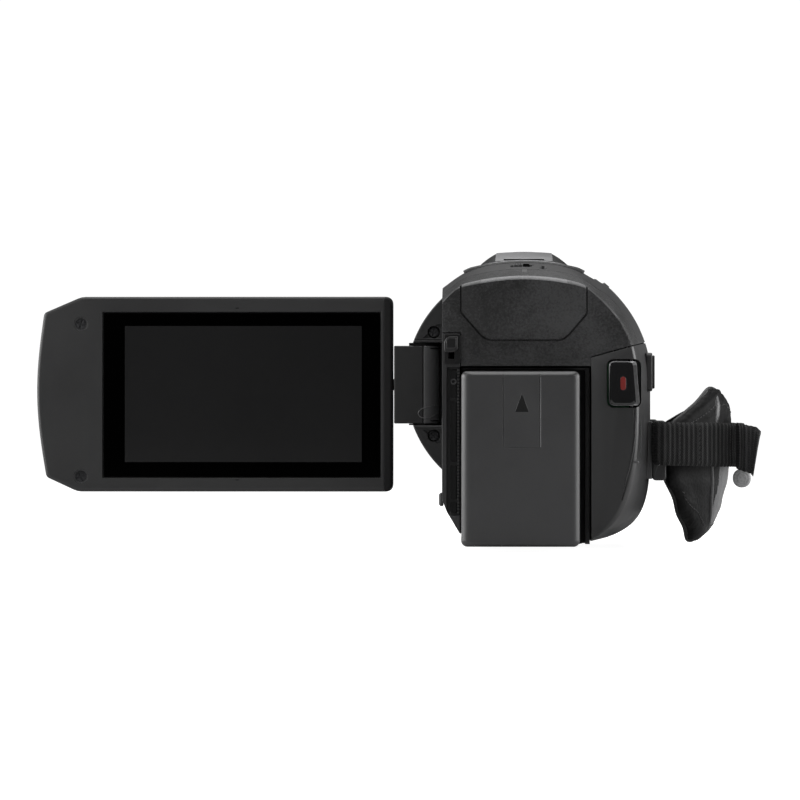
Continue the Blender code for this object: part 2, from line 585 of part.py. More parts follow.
# ---- lens and imaging block --------------------------------------------------
BARREL_R = 17.5
HOLDER_R = 15.6


def lens(name, y, radius, thickness, segments):
    """Sphere flattened along Y, on the lens axis."""
    shape = bmesh.new()
    bmesh.ops.create_uvsphere(shape, u_segments=segments, v_segments=8, radius=1.0)
    size = Matrix.Diagonal((radius * MM, radius * MM, thickness / 2 * MM, 1))
    bmesh.ops.transform(shape, matrix=Matrix.Translation((0, y * MM, AXIS_Z * MM))
                        @ Matrix.Rotation(math.pi / 2, 4, "X") @ size, verts=shape.verts)
    add(name, shape, "glass")


turned("lens_barrel", [(BARREL_R, 75.6), (BARREL_R, 4.0), (6.0, 4.0), (6.0, 5.6), (16.0, 5.6),
                       (16.0, 75.6)], 40, "shell")
lens("front_lens", 71.0, 15.6, 8.0, segments=32)
turned("zoom_holder", tube(HOLDER_R, 12.6, 40.0, 48.0), 28, "shell")
lens("zoom_lens", 44.0, 12.3, 6.0, segments=24)
box("image_sensor", (-5.0, 5.0, 1.6, 3.4, 38.8, 47.2), "gloss")
box("sensor_board", (-13.0, 13.0, 0.0, 1.3, 32.0, 54.0), "board")
box("main_board", (-15.4, -14.0, -40.0, -1.0, 12.0, 58.0), "board")
cylinder("zoom_motor", (0, 22.0, 19.0), Y_AXIS, 4.5, 18.0, 24, "steel")
cylinder("microphone", (0, 60.0, 68.0), Z_AXIS, 3.0, 3.0, 20, "steel")

# ---- chassis: floor, rear wall, front flange and front plate -----------------
chassis = box("chassis", (-15.6, 16.0, -44.0, 34.0, 9.0, 10.6), "steel")
cut(chassis, box("chassis_rear", (-13.2, 15.8, -43.8, -42.4, 9.3, 60.0)),
    box("chassis_front", (-15.4, 21.0, 32.5, 34.3, 9.3, 14.0)),
    box("chassis_plate", (-19.2, 21.5, 32.6, 34.2, 12.8, 64.0)), how="UNION")
cut(chassis, cylinder("chassis_lens_hole", (0, 33, AXIS_Z), Y_AXIS, BARREL_R + WIDE_GAP, 12, 40))

# ---- hand strap: eyelets, webbing, tail and tongue ---------------------------
for place, y in (("rear", -49.0), ("front", 41.5)):
    eyelet = box("strap_eyelet_" + place, (GRIP_X + 0.35, 37.6, y - 1.5, y + 1.5, 17.0, 35.0),
                 "smooth", bevel=0.5, segments=1)
    cut(eyelet, box("eyelet_slot_" + place, (GRIP_X + 1.3, 36.1, y - 9, y + 9, 19.0, 33.2)))


def ribbon(name, path, half, start, end):
    """Upright band along a plan path of (x, y).

    half is half its thickness; start and end are its (bottom, top) heights.
    """
    points = [Vector(point) for point in path]
    last = len(points) - 1
    rings = []
    for i, point in enumerate(points):
        ahead = (points[min(i + 1, last)] - points[max(i - 1, 0)]).normalized()
        side = Vector((-ahead.y, ahead.x)) * half
        low, high = (z0 + (z1 - z0) * i / last for z0, z1 in zip(start, end))
        one, other = point + side, point - side
        rings.append([(*one, low), (*one, high), (*other, high), (*other, low)])
    loft(name, rings, "web")


WEB_PATH = [(38.8, -50.6), (44.0, -49.8), (50.0, -47.2), (54.6, -43.0), (57.4, -36.0),
            (58.9, -24.0), (59.4, -8.0), (58.6, 8.0), (55.4, 22.0), (49.8, 32.5),
            (43.6, 39.5), (38.8, 43.2)]
TAIL_PATH = [(56.4, -43.6), (58.2, -42.0), (60.3, -42.3), (62.3, -43.4)]
ribbon("strap_webbing", WEB_PATH, 0.7, start=(20.2, 32.4), end=(20.2, 32.4))
ribbon("strap_tail", TAIL_PATH, 0.6, start=(19.0, 31.5), end=(18.2, 30.6))
box("strap_tongue", (55.8, 61.0, -40.6, -38.6, 15.0, 17.9), "leather", bevel=0.6)

# ---- strap pad ---------------------------------------------------------------
# y, x of the outer face, bottom and top heights
PAD = [(-46.4, 39.0, 16.0, 32.0), (-44.0, 42.0, 13.0, 34.0), (-41.0, 45.4, 8.0, 36.5),
       (-37.0, 49.2, 4.5, 39.5), (-32.0, 52.4, 0.7, 42.0), (-26.0, 54.3, 0.6, 41.2),
       (-10.0, 55.6, 1.0, 39.0), (6.0, 55.0, 1.5, 38.0), (18.0, 52.6, 3.5, 37.0),
       (28.0, 47.6, 8.0, 36.0), (34.5, 42.8, 14.0, 33.5), (38.0, 39.6, 18.0, 32.0)]
PAD_T = 5.0                # thickness
PAD_END = 0.45             # share of the thickness left at both ends
PAD_EDGE = 0.35            # share taken off each face at the top and bottom edges
PAD_WIDEST_Z = 24
CURL_BELOW, CURL_ABOVE = 0.0139, 0.0077    # curl towards the body, per height squared


def pad_ring(i):
    y, x, z0, z1 = PAD[i]
    last = len(PAD) - 1
    before, after = PAD[max(i - 1, 0)], PAD[min(i + 1, last)]
    ahead = Vector((after[1] - before[1], after[0] - before[0])).normalized()
    inward = Vector((-ahead.y, ahead.x))     # towards the body
    thickness = PAD_T * (PAD_END if i in (0, last) else 1.0)
    outer, inner = [], []
    for k in range(5):
        z = z0 + (z1 - z0) * k / 4
        edge = PAD_EDGE if k in (0, 4) else 0.0
        curl = CURL_BELOW if z < PAD_WIDEST_Z else CURL_ABOVE
        face_x = x - curl * (z - PAD_WIDEST_Z) ** 2
        for face, share in ((outer, edge), (inner, 1 - edge)):
            face.append((face_x + inward.x * thickness * share,
                         y + inward.y * thickness * share, z))
    return outer + inner[::-1]


loft("strap_pad", [pad_ring(i) for i in range(len(PAD))], "leather")
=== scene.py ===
"""Hand-held camcorder: casings, flip-out LCD panel, battery, hand strap, hood and lens front.

The helpers take millimetres, the meshes are in metres.  Everything lies in the CAD frame:
+Y along the lens, +X towards the strap, -X towards the LCD panel, Z = 0 on the underside.
"""
import json
import math

import bmesh
import bpy
import numpy as np
from mathutils import Matrix, Vector, noise

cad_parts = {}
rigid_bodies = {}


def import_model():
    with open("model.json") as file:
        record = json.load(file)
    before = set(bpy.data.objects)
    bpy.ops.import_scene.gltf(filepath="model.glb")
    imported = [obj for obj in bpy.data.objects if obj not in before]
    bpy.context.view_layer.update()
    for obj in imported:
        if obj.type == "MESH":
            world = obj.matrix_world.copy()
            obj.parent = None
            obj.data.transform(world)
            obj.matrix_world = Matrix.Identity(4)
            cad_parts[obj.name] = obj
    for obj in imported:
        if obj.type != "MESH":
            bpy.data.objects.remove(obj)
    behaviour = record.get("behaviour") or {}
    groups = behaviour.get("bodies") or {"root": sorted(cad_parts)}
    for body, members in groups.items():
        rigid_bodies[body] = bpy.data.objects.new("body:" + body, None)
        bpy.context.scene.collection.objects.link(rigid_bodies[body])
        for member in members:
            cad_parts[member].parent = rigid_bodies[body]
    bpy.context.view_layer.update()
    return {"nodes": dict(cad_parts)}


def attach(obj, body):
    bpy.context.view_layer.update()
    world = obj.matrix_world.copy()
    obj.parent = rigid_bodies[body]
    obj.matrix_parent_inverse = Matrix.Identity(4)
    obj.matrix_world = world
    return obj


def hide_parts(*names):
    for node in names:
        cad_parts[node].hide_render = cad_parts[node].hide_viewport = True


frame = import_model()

MM = 0.001
UP = (0, 0, 1)
AXIS_Z, DRUM_R, GRIP_R = 43.0, 33.2, 33.9     # height of the lens axis, radii round it
REAR_Y, BODY_Y = -66.0, 36.7                  # ends of the main casing
LEFT_X, GRIP_X = -21.6, 33.5                  # flat sides of the casing
WALL = 2.0
SEAM_IN, SEAM_OUT = (17.5, 49.7), (40.0, 55.9)   # slanted seam above the grip, x and z
SEAM_Y, SEAM_Z = -57.7, 61.9                  # seam behind the top cover, seam above the left cover
HALF_GAP = 0.15                               # half the width of a seam
HINGE_X, HINGE_Y, TILT_Z = -28.0, 42.0, 42.8
KEY_DIR = Vector((math.cos(math.radians(50)), 0, math.sin(math.radians(50))))  # facing of the keys
ZOOM_Y, PHOTO_Y = -8, -26
RECORD_PAD = (22.2, 30.3, 37.0, 48.7)         # x0, x1, z0, z1
TERMINAL_DOOR = (-38.0, -8.0, 18.0, 48.0)     # y0, y1, z0, z1
CARD_DOOR = (-62.0, -42.0, 13.5, 34.0)


# =============================================================== materials
MATERIALS = {}


def rgba(tone):
    """(grey,), (red and green, blue) or (red, green, blue) as an opaque colour."""
    return (*tone, 1) if len(tone) == 3 else (tone[0], tone[0], tone[-1], 1)


def feed(target, inputs):
    """Fill a node's inputs: a socket is linked, anything else is set as the value."""
    for name, value in inputs.items():
        if isinstance(value, bpy.types.NodeSocket):
            target.id_data.links.new(value, target.inputs[name])
        else:
            target.inputs[name].default_value = value


def node(tree, kind, inputs, **settings):
    new = tree.nodes.new("ShaderNode" + kind)
    for name, value in settings.items():
        setattr(new, name, value)
    feed(new, inputs)
    return new


def object_coords(tree):
    return node(tree, "TexCoord", {}).outputs["Object"]


def noise_tex(tree, coords, **inputs):
    return node(tree, "TexNoise", {"Vector": coords, **inputs}).outputs["Fac"]


def ramp(tree, factor, dark, light, span=(0.0, 1.0)):
    new = node(tree, "ValToRGB", {"Fac": factor})
    for k, tone in enumerate((dark, light)):
        new.color_ramp.elements[k].position = span[k]
        new.color_ramp.elements[k].color = rgba(tone)
    return new.outputs["Color"]


def remap(tree, value, to, span=(0.0, 1.0)):
    inputs = {"Value": value, "From Min": span[0], "From Max": span[1],
              "To Min": to[0], "To Max": to[1]}
    return node(tree, "MapRange", inputs).outputs[0]


def new_material(name):
    material = bpy.data.materials.new(name)
    material.use_nodes = True
    MATERIALS[name] = material
    return material.node_tree, material.node_tree.nodes["Principled BSDF"]


def grain_material(name, dark, light, rough, grain, bump, depth, metal=0.0, spec=0.5, coat=0.0,
                   cells=False, wear=0.0, span=(0.55, 1.0)):
    """Moulded or coated surface: grain in the bump, patchy tone and gloss, worn edges."""
    tree, surface = new_material(name)
    coords = object_coords(tree)
    patches = noise_tex(tree, coords, Scale=45.0, Detail=3.0, Roughness=0.6)
    if cells:
        voronoi = node(tree, "TexVoronoi", {"Vector": coords, "Scale": grain})
        fine = voronoi.outputs["Distance"]
    else:
        fine = noise_tex(tree, coords, Scale=grain, Detail=3.0, Roughness=0.65)
    fine_share = 0.7
    mixed = node(tree, "Math", {0: fine, 1: fine_share, 2: patches}, operation="MULTIPLY_ADD")
    colour = ramp(tree, mixed.outputs[0], dark, light, span)
    if wear > 0:
        edges = node(tree, "NewGeometry", {}).outputs["Pointiness"]
        worn = remap(tree, edges, to=(0.0, wear), span=(0.53, 0.62))
        mix = node(tree, "Mix", {"Factor": worn, "A": colour, "B": rgba((0.11, 0.11, 0.112))},
                   data_type="RGBA")
        colour = mix.outputs["Result"]
    gloss = remap(tree, patches, to=rough, span=(0.3, 0.7))
    relief = node(tree, "Bump", {"Strength": bump, "Distance": depth, "Height": fine})
    rounding = node(tree, "Bevel", {"Radius": 0.00022}, samples=4)
    feed(relief, {"Normal": rounding.outputs["Normal"]})
    feed(surface, {"Base Color": colour, "Roughness": gloss, "Normal": relief.outputs["Normal"],
                   "Metallic": metal, "Specular IOR Level": spec, "Coat Weight": coat})


# name, dark tone, light tone, roughness range, grain scale, bump strength, bump depth (m), rest
RIM_SPAN = (0.7, 0.98)
GRAINS = [
    ("textured_shell", (0.0015, 0.0016), (0.026, 0.027), (0.50, 0.62), 1900, 1.0, 0.00022,
     dict(spec=0.34, wear=0.15, span=RIM_SPAN)),
    # painted highlight: the rim greys are paler tones that paint light caught by rims and edges
    ("rolled_rim", (0.075, 0.077), (0.125, 0.128), (0.36, 0.48), 1900, 0.9, 0.00014,
     dict(span=RIM_SPAN)),
    ("rolled_rim_side", (0.022, 0.023), (0.036, 0.037), (0.36, 0.46), 2700, 0.6, 0.00010, {}),
    ("pull_tongue", (0.18, 0.182), (0.26, 0.263), (0.45, 0.6), 1600, 0.6, 0.00010,
     dict(cells=True)),
    ("moulded_shell", (0.007, 0.0073), (0.013, 0.0135), (0.44, 0.54), 3200, 0.25, 0.00005,
     dict(spec=0.42, wear=0.25)),
    ("arm_plastic", (0.0088, 0.0091), (0.0138, 0.0141), (0.40, 0.48), 3600, 0.15, 0.00004,
     dict(spec=0.34)),
    ("arm_barrel", (0.048, 0.049), (0.066, 0.067), (0.32, 0.40), 3600, 0.15, 0.00004, {}),
    ("hood_shell", (0.0035, 0.0037), (0.0065, 0.0067), (0.44, 0.54), 3200, 0.22, 0.00005,
     dict(spec=0.2, wear=0.1)),
    ("rolled_rim_end", (0.038, 0.039), (0.064, 0.066), (0.36, 0.48), 1900, 0.9, 0.00014,
     dict(span=RIM_SPAN)),
    ("soft_leather_shaded", (0.002, 0.0021), (0.005, 0.0051), (0.50, 0.62), 1300, 0.35, 0.00008,
     dict(spec=0.07, cells=True, wear=0.05)),
    ("shaded_plastic", (0.003, 0.0032), (0.006, 0.0062), (0.45, 0.55), 3200, 0.2, 0.00004,
     dict(spec=0.22)),
    ("smooth_grip", (0.013, 0.0135), (0.018, 0.0185), (0.34, 0.42), 5200, 0.10, 0.00003,
     dict(wear=0.2)),
    ("battery_case", (0.019, 0.0195), (0.026, 0.027), (0.37, 0.43), 4200, 0.16, 0.00004,
     dict(wear=0.04)),
    ("panel_plastic", (0.011, 0.0113), (0.016, 0.0163), (0.38, 0.46), 4600, 0.12, 0.00004,
     dict(spec=0.45, wear=0.2)),
    ("piano_black", (0.002, 0.0024), (0.004, 0.0044), (0.06, 0.11), 900, 0.02, 0.00001,
     dict(spec=0.4, coat=0.25)),
    ("satin_cap", (0.125, 0.128), (0.17, 0.174), (0.32, 0.42), 2600, 0.10, 0.00003,
     dict(metal=0.35)),
    ("ring_rubber", (0.007,), (0.013,), (0.6, 0.75), 1800, 0.3, 0.00006, dict(spec=0.35)),
    ("bright_steel", (0.30, 0.31), (0.46, 0.47), (0.25, 0.4), 1500, 0.12, 0.00003,
     dict(metal=1.0)),
    ("black_screw", (0.014, 0.015), (0.034, 0.036), (0.3, 0.45), 1500, 0.2, 0.00004,
     dict(metal=0.7)),
    ("gold_contact", (0.55, 0.38, 0.14), (0.75, 0.56, 0.24), (0.2, 0.35), 1200, 0.1, 0.00003,
     dict(metal=1.0)),
    ("solder_mask", (0.008, 0.06, 0.025), (0.02, 0.13, 0.05), (0.3, 0.5), 700, 0.3, 0.00005, {}),
    ("soft_leather", (0.003, 0.0032), (0.0062, 0.0064), (0.44, 0.56), 1300, 0.45, 0.00010,
     dict(spec=0.11, cells=True, wear=0.10)),
    # pale grey, mostly painted highlight on edges, beads and rolls
    ("rolled_leather", (0.026, 0.0265), (0.048, 0.049), (0.34, 0.46), 1500, 0.4, 0.00008,
     dict(cells=True)),
    ("outer_leather", (0.045, 0.046), (0.085, 0.087), (0.42, 0.56), 1500, 0.5, 0.00010,
     dict(cells=True)),
    ("piping_cord", (0.006, 0.0062), (0.014, 0.0143), (0.42, 0.55), 1500, 0.4, 0.00008,
     dict(spec=0.35, cells=True)),
    ("pad_print", (0.0035, 0.0037), (0.006, 0.0062), (0.55, 0.65), 2600, 0.1, 0.00003,
     dict(spec=0.18)),
    ("deep_black", (0.0012,), (0.0028,), (0.7, 0.85), 900, 0.2, 0.00005, dict(spec=0.1)),
    ("bright_rim", (0.16, 0.164), (0.24, 0.245), (0.24, 0.34), 2600, 0.05, 0.00002,
     dict(metal=0.5)),
    ("thread", (0.009, 0.0093), (0.016, 0.0165), (0.6, 0.8), 4000, 0.5, 0.0001, {}),
    ("record_red", (0.12, 0.005, 0.004), (0.18, 0.009, 0.006), (0.28, 0.4), 1800, 0.1, 0.00003,
     {}),
]
for *values, extras in GRAINS:
    grain_material(*values, **extras)
# painted glow: the red mark gets a faint emission though it is no lamp
feed(MATERIALS["record_red"].node_tree.nodes["Principled BSDF"],
     {"Emission Color": (0.55, 0.04, 0.015, 1), "Emission Strength": 0.012})


def lens_material():
    """Coated glass: greenish seen straight on, purple towards the edge."""
    tree, surface = new_material("lens_glass")
    coords = object_coords(tree)
    facing = node(tree, "LayerWeight", {"Blend": 0.35}).outputs["Facing"]
    colour = ramp(tree, facing, dark=(0.004, 0.010, 0.012), light=(0.05, 0.012, 0.05))
    smear = noise_tex(tree, coords, Scale=60.0, Detail=2.0)
    feed(surface, {"Base Color": colour, "Roughness": remap(tree, smear, to=(0.02, 0.06)),
                   "Coat Weight": 1.0, "Coat Roughness": 0.02})


def screen_material(name, tone, rough, spec):
    """Cover glass or dead panel: nearly black, a faint mottling and smear in the gloss."""
    tree, surface = new_material(name)
    smear = noise_tex(tree, object_coords(tree), Scale=28.0, Detail=4.0, Roughness=0.55)
    colour = ramp(tree, smear, dark=(tone * 0.9, tone * 0.93), light=(tone * 1.1, tone * 1.12))
    feed(surface, {"Base Color": colour, "Specular IOR Level": spec,
                   "Roughness": remap(tree, smear, to=(rough, rough * 1.8))})


def tape_material(name, brightness):
    """Ribbed tape: fine diagonal yarn twist, fuzzy sheen."""
    tree, surface = new_material(name)
    coords = object_coords(tree)
    yarn = node(tree, "TexWave", {"Vector": coords, "Scale": 900.0, "Distortion": 3.0,
                                  "Detail": 2.0}, wave_type="BANDS", bands_direction="DIAGONAL")
    fuzz = noise_tex(tree, coords, Scale=1400.0, Detail=4.0, Roughness=0.7)
    patches = noise_tex(tree, coords, Scale=80.0, Detail=2.0)
    weave = node(tree, "Math", {0: yarn.outputs["Fac"], 1: fuzz}, operation="ADD").outputs[0]
    mean = node(tree, "Math", {0: weave, 1: 0.5}, operation="MULTIPLY").outputs[0]
    colour = ramp(tree, mean, dark=(0.0042 * brightness, 0.0044 * brightness),
                  light=(0.0128 * brightness, 0.0132 * brightness), span=(0.4, 1.0))
    relief = node(tree, "Bump", {"Strength": 0.6, "Distance": 0.00012, "Height": weave})
    feed(surface, {"Base Color": colour, "Roughness": remap(tree, patches, to=(0.65, 0.9)),
                   "Normal": relief.outputs["Normal"],
                   "Sheen Weight": 0.08 * min(brightness, 1.2), "Sheen Roughness": 0.4,
                   "Specular IOR Level": 0.3 * min(brightness, 1.0)})


lens_material()
screen_material("cover_glass", tone=0.0001, rough=0.05, spec=0.02)
screen_material("display_area", tone=0.0080, rough=0.10, spec=0.25)
# lit and shaded copies of the tape: brightness paints light and shade
tape_material("grosgrain", brightness=1.0)
tape_material("grosgrain_shaded", brightness=0.72)
tape_material("grosgrain_fold_shade", brightness=0.5)
tape_material("grosgrain_lit_end", brightness=2.4)


# ========================================================= outlines and curves
def mm(x, y, z):
    return Vector((x, y, z)) * MM


def arc(cx, cz, radius, start, end, steps):
    angles = [math.radians(start + (end - start) * k / steps) for k in range(steps + 1)]
    return [(cx + radius * math.cos(a), cz + radius * math.sin(a)) for a in angles]


def rounded_rect(x0, x1, z0, z1, radius, steps=8):
    return (arc(x1 - radius, z1 - radius, radius, 0, 90, steps)
            + arc(x0 + radius, z1 - radius, radius, 90, 180, steps)
            + arc(x0 + radius, z0 + radius, radius, 180, 270, steps)
            + arc(x1 - radius, z0 + radius, radius, 270, 360, steps))


def grown(rect, margin):
    return rect[0] - margin, rect[1] + margin, rect[2] - margin, rect[3] + margin


def circle_xz(radius, y, count=120):
    """Circle round the lens axis."""
    return [(radius * math.cos(2 * math.pi * k / count), y,
             AXIS_Z + radius * math.sin(2 * math.pi * k / count)) for k in range(count)]


def spline(points, steps):
    """Smooth curve through points, ends included."""
    points = [Vector(p) for p in points]
    last = len(points) - 1
    curve = []
    for i in range(last):
        before, start, end, after = (points[min(max(j, 0), last)] for j in range(i - 1, i + 3))
        for k in range(steps):
            t = k / steps
            curve.append(0.5 * ((2 * start) + (end - before) * t
                                + (2 * before - 5 * start + 4 * end - after) * t * t
                                + (3 * start - before - 3 * end + after) * t ** 3))
    return curve + [points[-1]]


def inset_ring(points, distance, side):
    """Move a closed outline inwards; side is 1 for a clockwise ring, -1 for the other way."""
    moved = []
    for i, point in enumerate(points):
        arriving = (point - points[i - 1]).normalized()
        leaving = (points[(i + 1) % len(points)] - point).normalized()
        normal = Vector((arriving.y, -arriving.x)) * side
        mitre = (normal + Vector((leaving.y, -leaving.x)) * side).normalized()
        moved.append(point + mitre * distance / max(0.5, mitre.dot(normal)))
    return moved


# ============================================================== mesh helpers
COLL = bpy.data.collections.new("camcorder_looks")
bpy.context.scene.collection.children.link(COLL)
TOOLS = bpy.data.collections.new("scratch")
bpy.context.scene.collection.children.link(TOOLS)


def add_mesh(bm, mat, sharp=32.0, name="part"):
    bmesh.ops.recalc_face_normals(bm, faces=bm.faces)
    mesh = bpy.data.meshes.new(name)
    bm.to_mesh(mesh)
    bm.free()
    mesh.shade_smooth()
    mesh.set_sharp_from_angle(angle=math.radians(sharp))
    ob = bpy.data.objects.new(name, mesh)
    COLL.objects.link(ob)
    mesh.materials.append(MATERIALS[mat])
    return ob


def place(ob, body, cad_node=None):
    """Tie a piece to its moving body and hide the CAD node it stands for."""
    if cad_node:
        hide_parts(cad_node)
    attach(ob, body)


def round_edges(bm, width, seg=3, angle=28.0):
    edges = [e for e in bm.edges
             if len(e.link_faces) == 2 and e.calc_face_angle(0.0) > math.radians(angle)]
    if edges:
        bmesh.ops.bevel(bm, geom=edges, offset=width * MM, offset_type="OFFSET", segments=seg,
                        profile=0.5, affect="EDGES", clamp_overlap=True)


def box_bm(x0, x1, y0, y1, z0, z1):
    bm = bmesh.new()
    bmesh.ops.create_cube(bm, size=1.0)
    bmesh.ops.scale(bm, vec=mm(x1 - x0, y1 - y0, z1 - z0), verts=bm.verts)
    centre = mm((x0 + x1) / 2, (y0 + y1) / 2, (z0 + z1) / 2)
    bmesh.ops.translate(bm, vec=centre, verts=bm.verts)
    return bm


def box(extent, mat, bevel=0.3, seg=3, name="part"):
    bm = box_bm(*extent)
    if bevel:
        round_edges(bm, bevel, seg)
    return add_mesh(bm, mat, name=name)


def cylinder_bm(at, axis, radius, length, seg=48, bevel=0.0):
    bm = bmesh.new()
    bmesh.ops.create_cone(bm, cap_ends=True, segments=seg, radius1=radius * MM,
                          radius2=radius * MM, depth=length * MM)
    if bevel:
        round_edges(bm, bevel, 3, 40)
    turn = Vector(UP).rotation_difference(Vector(axis).normalized()).to_matrix().to_4x4()
    bmesh.ops.transform(bm, matrix=Matrix.Translation(Vector(at) * MM) @ turn, verts=bm.verts)
    return bm


LATHE_TURN = {"Y": Matrix.Rotation(-math.pi / 2, 4, "X"), "Z": Matrix.Identity(4)}


def lathe(profile, mat, at=(0, 0, 0), axis="Y", seg=128, sharp=32.0, name="part"):
    """Turned piece from (radius, height) points; a profile that starts off the axis is closed."""
    bm = bmesh.new()
    rows = []
    for radius, height in profile:
        count = seg if radius > 1e-6 else 1
        angles = [2 * math.pi * k / seg for k in range(count)]
        rows.append([bm.verts.new(mm(radius * math.cos(a), radius * math.sin(a), height))
                     for a in angles])
    closing = [(rows[-1], rows[0])] if profile[0][0] > 0 else []
    for low, high in list(zip(rows, rows[1:])) + closing:
        for k in range(seg):
            n = (k + 1) % seg
            if len(low) == 1:
                bm.faces.new((low[0], high[n], high[k]))
            elif len(high) == 1:
                bm.faces.new((low[k], low[n], high[0]))
            else:
                bm.faces.new((low[k], low[n], high[n], high[k]))
    bmesh.ops.transform(bm, matrix=Matrix.Translation(mm(*at)) @ LATHE_TURN[axis], verts=bm.verts)
    return add_mesh(bm, mat, sharp, name)


def slab_bm(outline, plane, low, high):
    """Flat outline pushed along the third axis."""
    bm = bmesh.new()

    def corner(point, depth):
        a, b = point[0], point[1]
        return {"XZ": mm(a, depth, b), "YZ": mm(depth, a, b), "XY": mm(a, b, depth)}[plane]
    lower = [bm.verts.new(corner(p, low)) for p in outline]
    upper = [bm.verts.new(corner(p, high)) for p in outline]
    bm.faces.new(lower)
    bm.faces.new(list(reversed(upper)))
    for k in range(len(outline)):
        n = (k + 1) % len(outline)
        bm.faces.new((lower[k], upper[k], upper[n], lower[n]))
    bmesh.ops.recalc_face_normals(bm, faces=bm.faces)
    return bm


def slab(outline, plane, low, high, mat, bevel=0.3, seg=3, sharp=32.0, name="part"):
    bm = slab_bm(outline, plane, low, high)
    if bevel:
        round_edges(bm, bevel, seg)
    return add_mesh(bm, mat, sharp, name)


def tube(points, radius, mat, seg=10, closed=False, taper=None, name="part"):
    """Round cord along a path; taper scales the radius over 0..1 of the path."""
    path = [Vector(p) for p in points]
    count = len(path)
    bm = bmesh.new()
    rings = []
    normal = None
    for i, point in enumerate(path):
        before = path[(i - 1) % count] if (closed or i > 0) else point
        after = path[(i + 1) % count] if (closed or i < count - 1) else point
        along = (after - before).normalized()
        if normal is None:
            side = Vector(UP) if abs(along.dot(Vector(UP))) < 0.9 else Vector((1, 0, 0))
            normal = along.cross(side).normalized()
        else:
            normal = (normal - along * normal.dot(along)).normalized()
        across = along.cross(normal)
        size = radius * (taper(i / (count - 1)) if taper else 1.0)
        rings.append([bm.verts.new((point + normal * size * math.cos(2 * math.pi * k / seg)
                                    + across * size * math.sin(2 * math.pi * k / seg)) * MM)
                      for k in range(seg)])
    for a, b in list(zip(rings, rings[1:])) + ([(rings[-1], rings[0])] if closed else []):
        for k in range(seg):
            bm.faces.new((a[k], a[(k + 1) % seg], b[(k + 1) % seg], b[k]))
    if not closed:
        bm.faces.new(list(reversed(rings[0])))
        bm.faces.new(rings[-1])
    return add_mesh(bm, mat, 60.0, name)


def loft_bm(rings, cap=True):
    bm = bmesh.new()
    rows = [[bm.verts.new(mm(*p)) for p in ring] for ring in rings]
    count = len(rows[0])
    for a, b in zip(rows, rows[1:]):
        for k in range(count):
            bm.faces.new((a[k], a[(k + 1) % count], b[(k + 1) % count], b[k]))
    if cap:
        bm.faces.new(list(reversed(rows[0])))
        bm.faces.new(rows[-1])
    bmesh.ops.recalc_face_normals(bm, faces=bm.faces)
    return bm


def loft(rings, mat, sharp=26.0, name="part"):
    return add_mesh(loft_bm(rings), mat, sharp, name)


# ---- scratch solids for the Booleans
def as_tool(bm):
    bmesh.ops.recalc_face_normals(bm, faces=bm.faces)
    mesh = bpy.data.meshes.new("tool")
    bm.to_mesh(mesh)
    bm.free()
    ob = bpy.data.objects.new("tool", mesh)
    TOOLS.objects.link(ob)
    return ob


def box_tool(*extent):
    return as_tool(box_bm(*extent))


def slab_tool(outline, plane, low, high):
    return as_tool(slab_bm(outline, plane, low, high))


def bore_tool(at, axis, radius, length, seg=48):
    return as_tool(cylinder_bm(at, axis, radius, length, seg))


def drum_tool(y0):
    """Clears the space of the front drum, just wider than the drum itself."""
    return as_tool(loft_bm([circle_xz(33.5, y) for y in (y0, 90.0)]))


def groove_tool(path, width, low, high):
    """Even channel that follows an XZ path."""
    points = [Vector(p) for p in path]
    steps = [(b - a).normalized() for a, b in zip(points, points[1:])]
    left, right = [], []
    for i, point in enumerate(points):
        arriving, leaving = steps[max(i - 1, 0)], steps[min(i, len(steps) - 1)]
        normal = Vector((-arriving.y, arriving.x))
        mitre = (normal + Vector((-leaving.y, leaving.x))).normalized()
        reach = width / 2 / max(0.4, mitre.dot(normal))
        left.append(point + mitre * reach)
        right.append(point - mitre * reach)
    return slab_tool(left + right[::-1], "XZ", low, high)


def bake(ob):
    """Apply all modifiers."""
    graph = bpy.context.evaluated_depsgraph_get()
    mesh = bpy.data.meshes.new_from_object(ob.evaluated_get(graph))
    swap_mesh(ob, mesh)


def swap_mesh(ob, mesh):
    ob.modifiers.clear()
    old = ob.data
    ob.data = mesh
    bpy.data.meshes.remove(old)


def drop_empty_slots(mesh):
    """Cutters bring an unfilled material slot with them; every face keeps a real material."""
    for i in range(len(mesh.materials) - 1, -1, -1):
        if mesh.materials[i] is None:
            for face in mesh.polygons:
                if face.material_index == i:
                    face.material_index = 0
                elif face.material_index > i:
                    face.material_index -= 1
            mesh.materials.pop(index=i)


def boolean(ob, tool, operation):
    modifier = ob.modifiers.new("cut", "BOOLEAN")
    modifier.operation = operation
    modifier.solver = "MANIFOLD"
    modifier.object = tool
    bake(ob)
    drop_empty_slots(ob.data)
    bpy.data.objects.remove(tool, do_unlink=True)


def cut(ob, *tools):
    for tool in tools:
        boolean(ob, tool, "DIFFERENCE")


def keep_inside(ob, tool):
    boolean(ob, tool, "INTERSECT")


def paint(ob, mat, where):
    """Give the faces picked out by where(centre in mm, normal) another material."""
    if MATERIALS[mat].name not in [m.name for m in ob.data.materials]:
        ob.data.materials.append(MATERIALS[mat])
    slot = [m.name for m in ob.data.materials].index(MATERIALS[mat].name)
    for face in ob.data.polygons:
        if where(face.center / MM, face.normal):
            face.material_index = slot


def reshade(ob, sharp):
    """Mark the sharp edges again after cutting."""
    ob.data.set_sharp_from_angle(angle=math.radians(sharp))


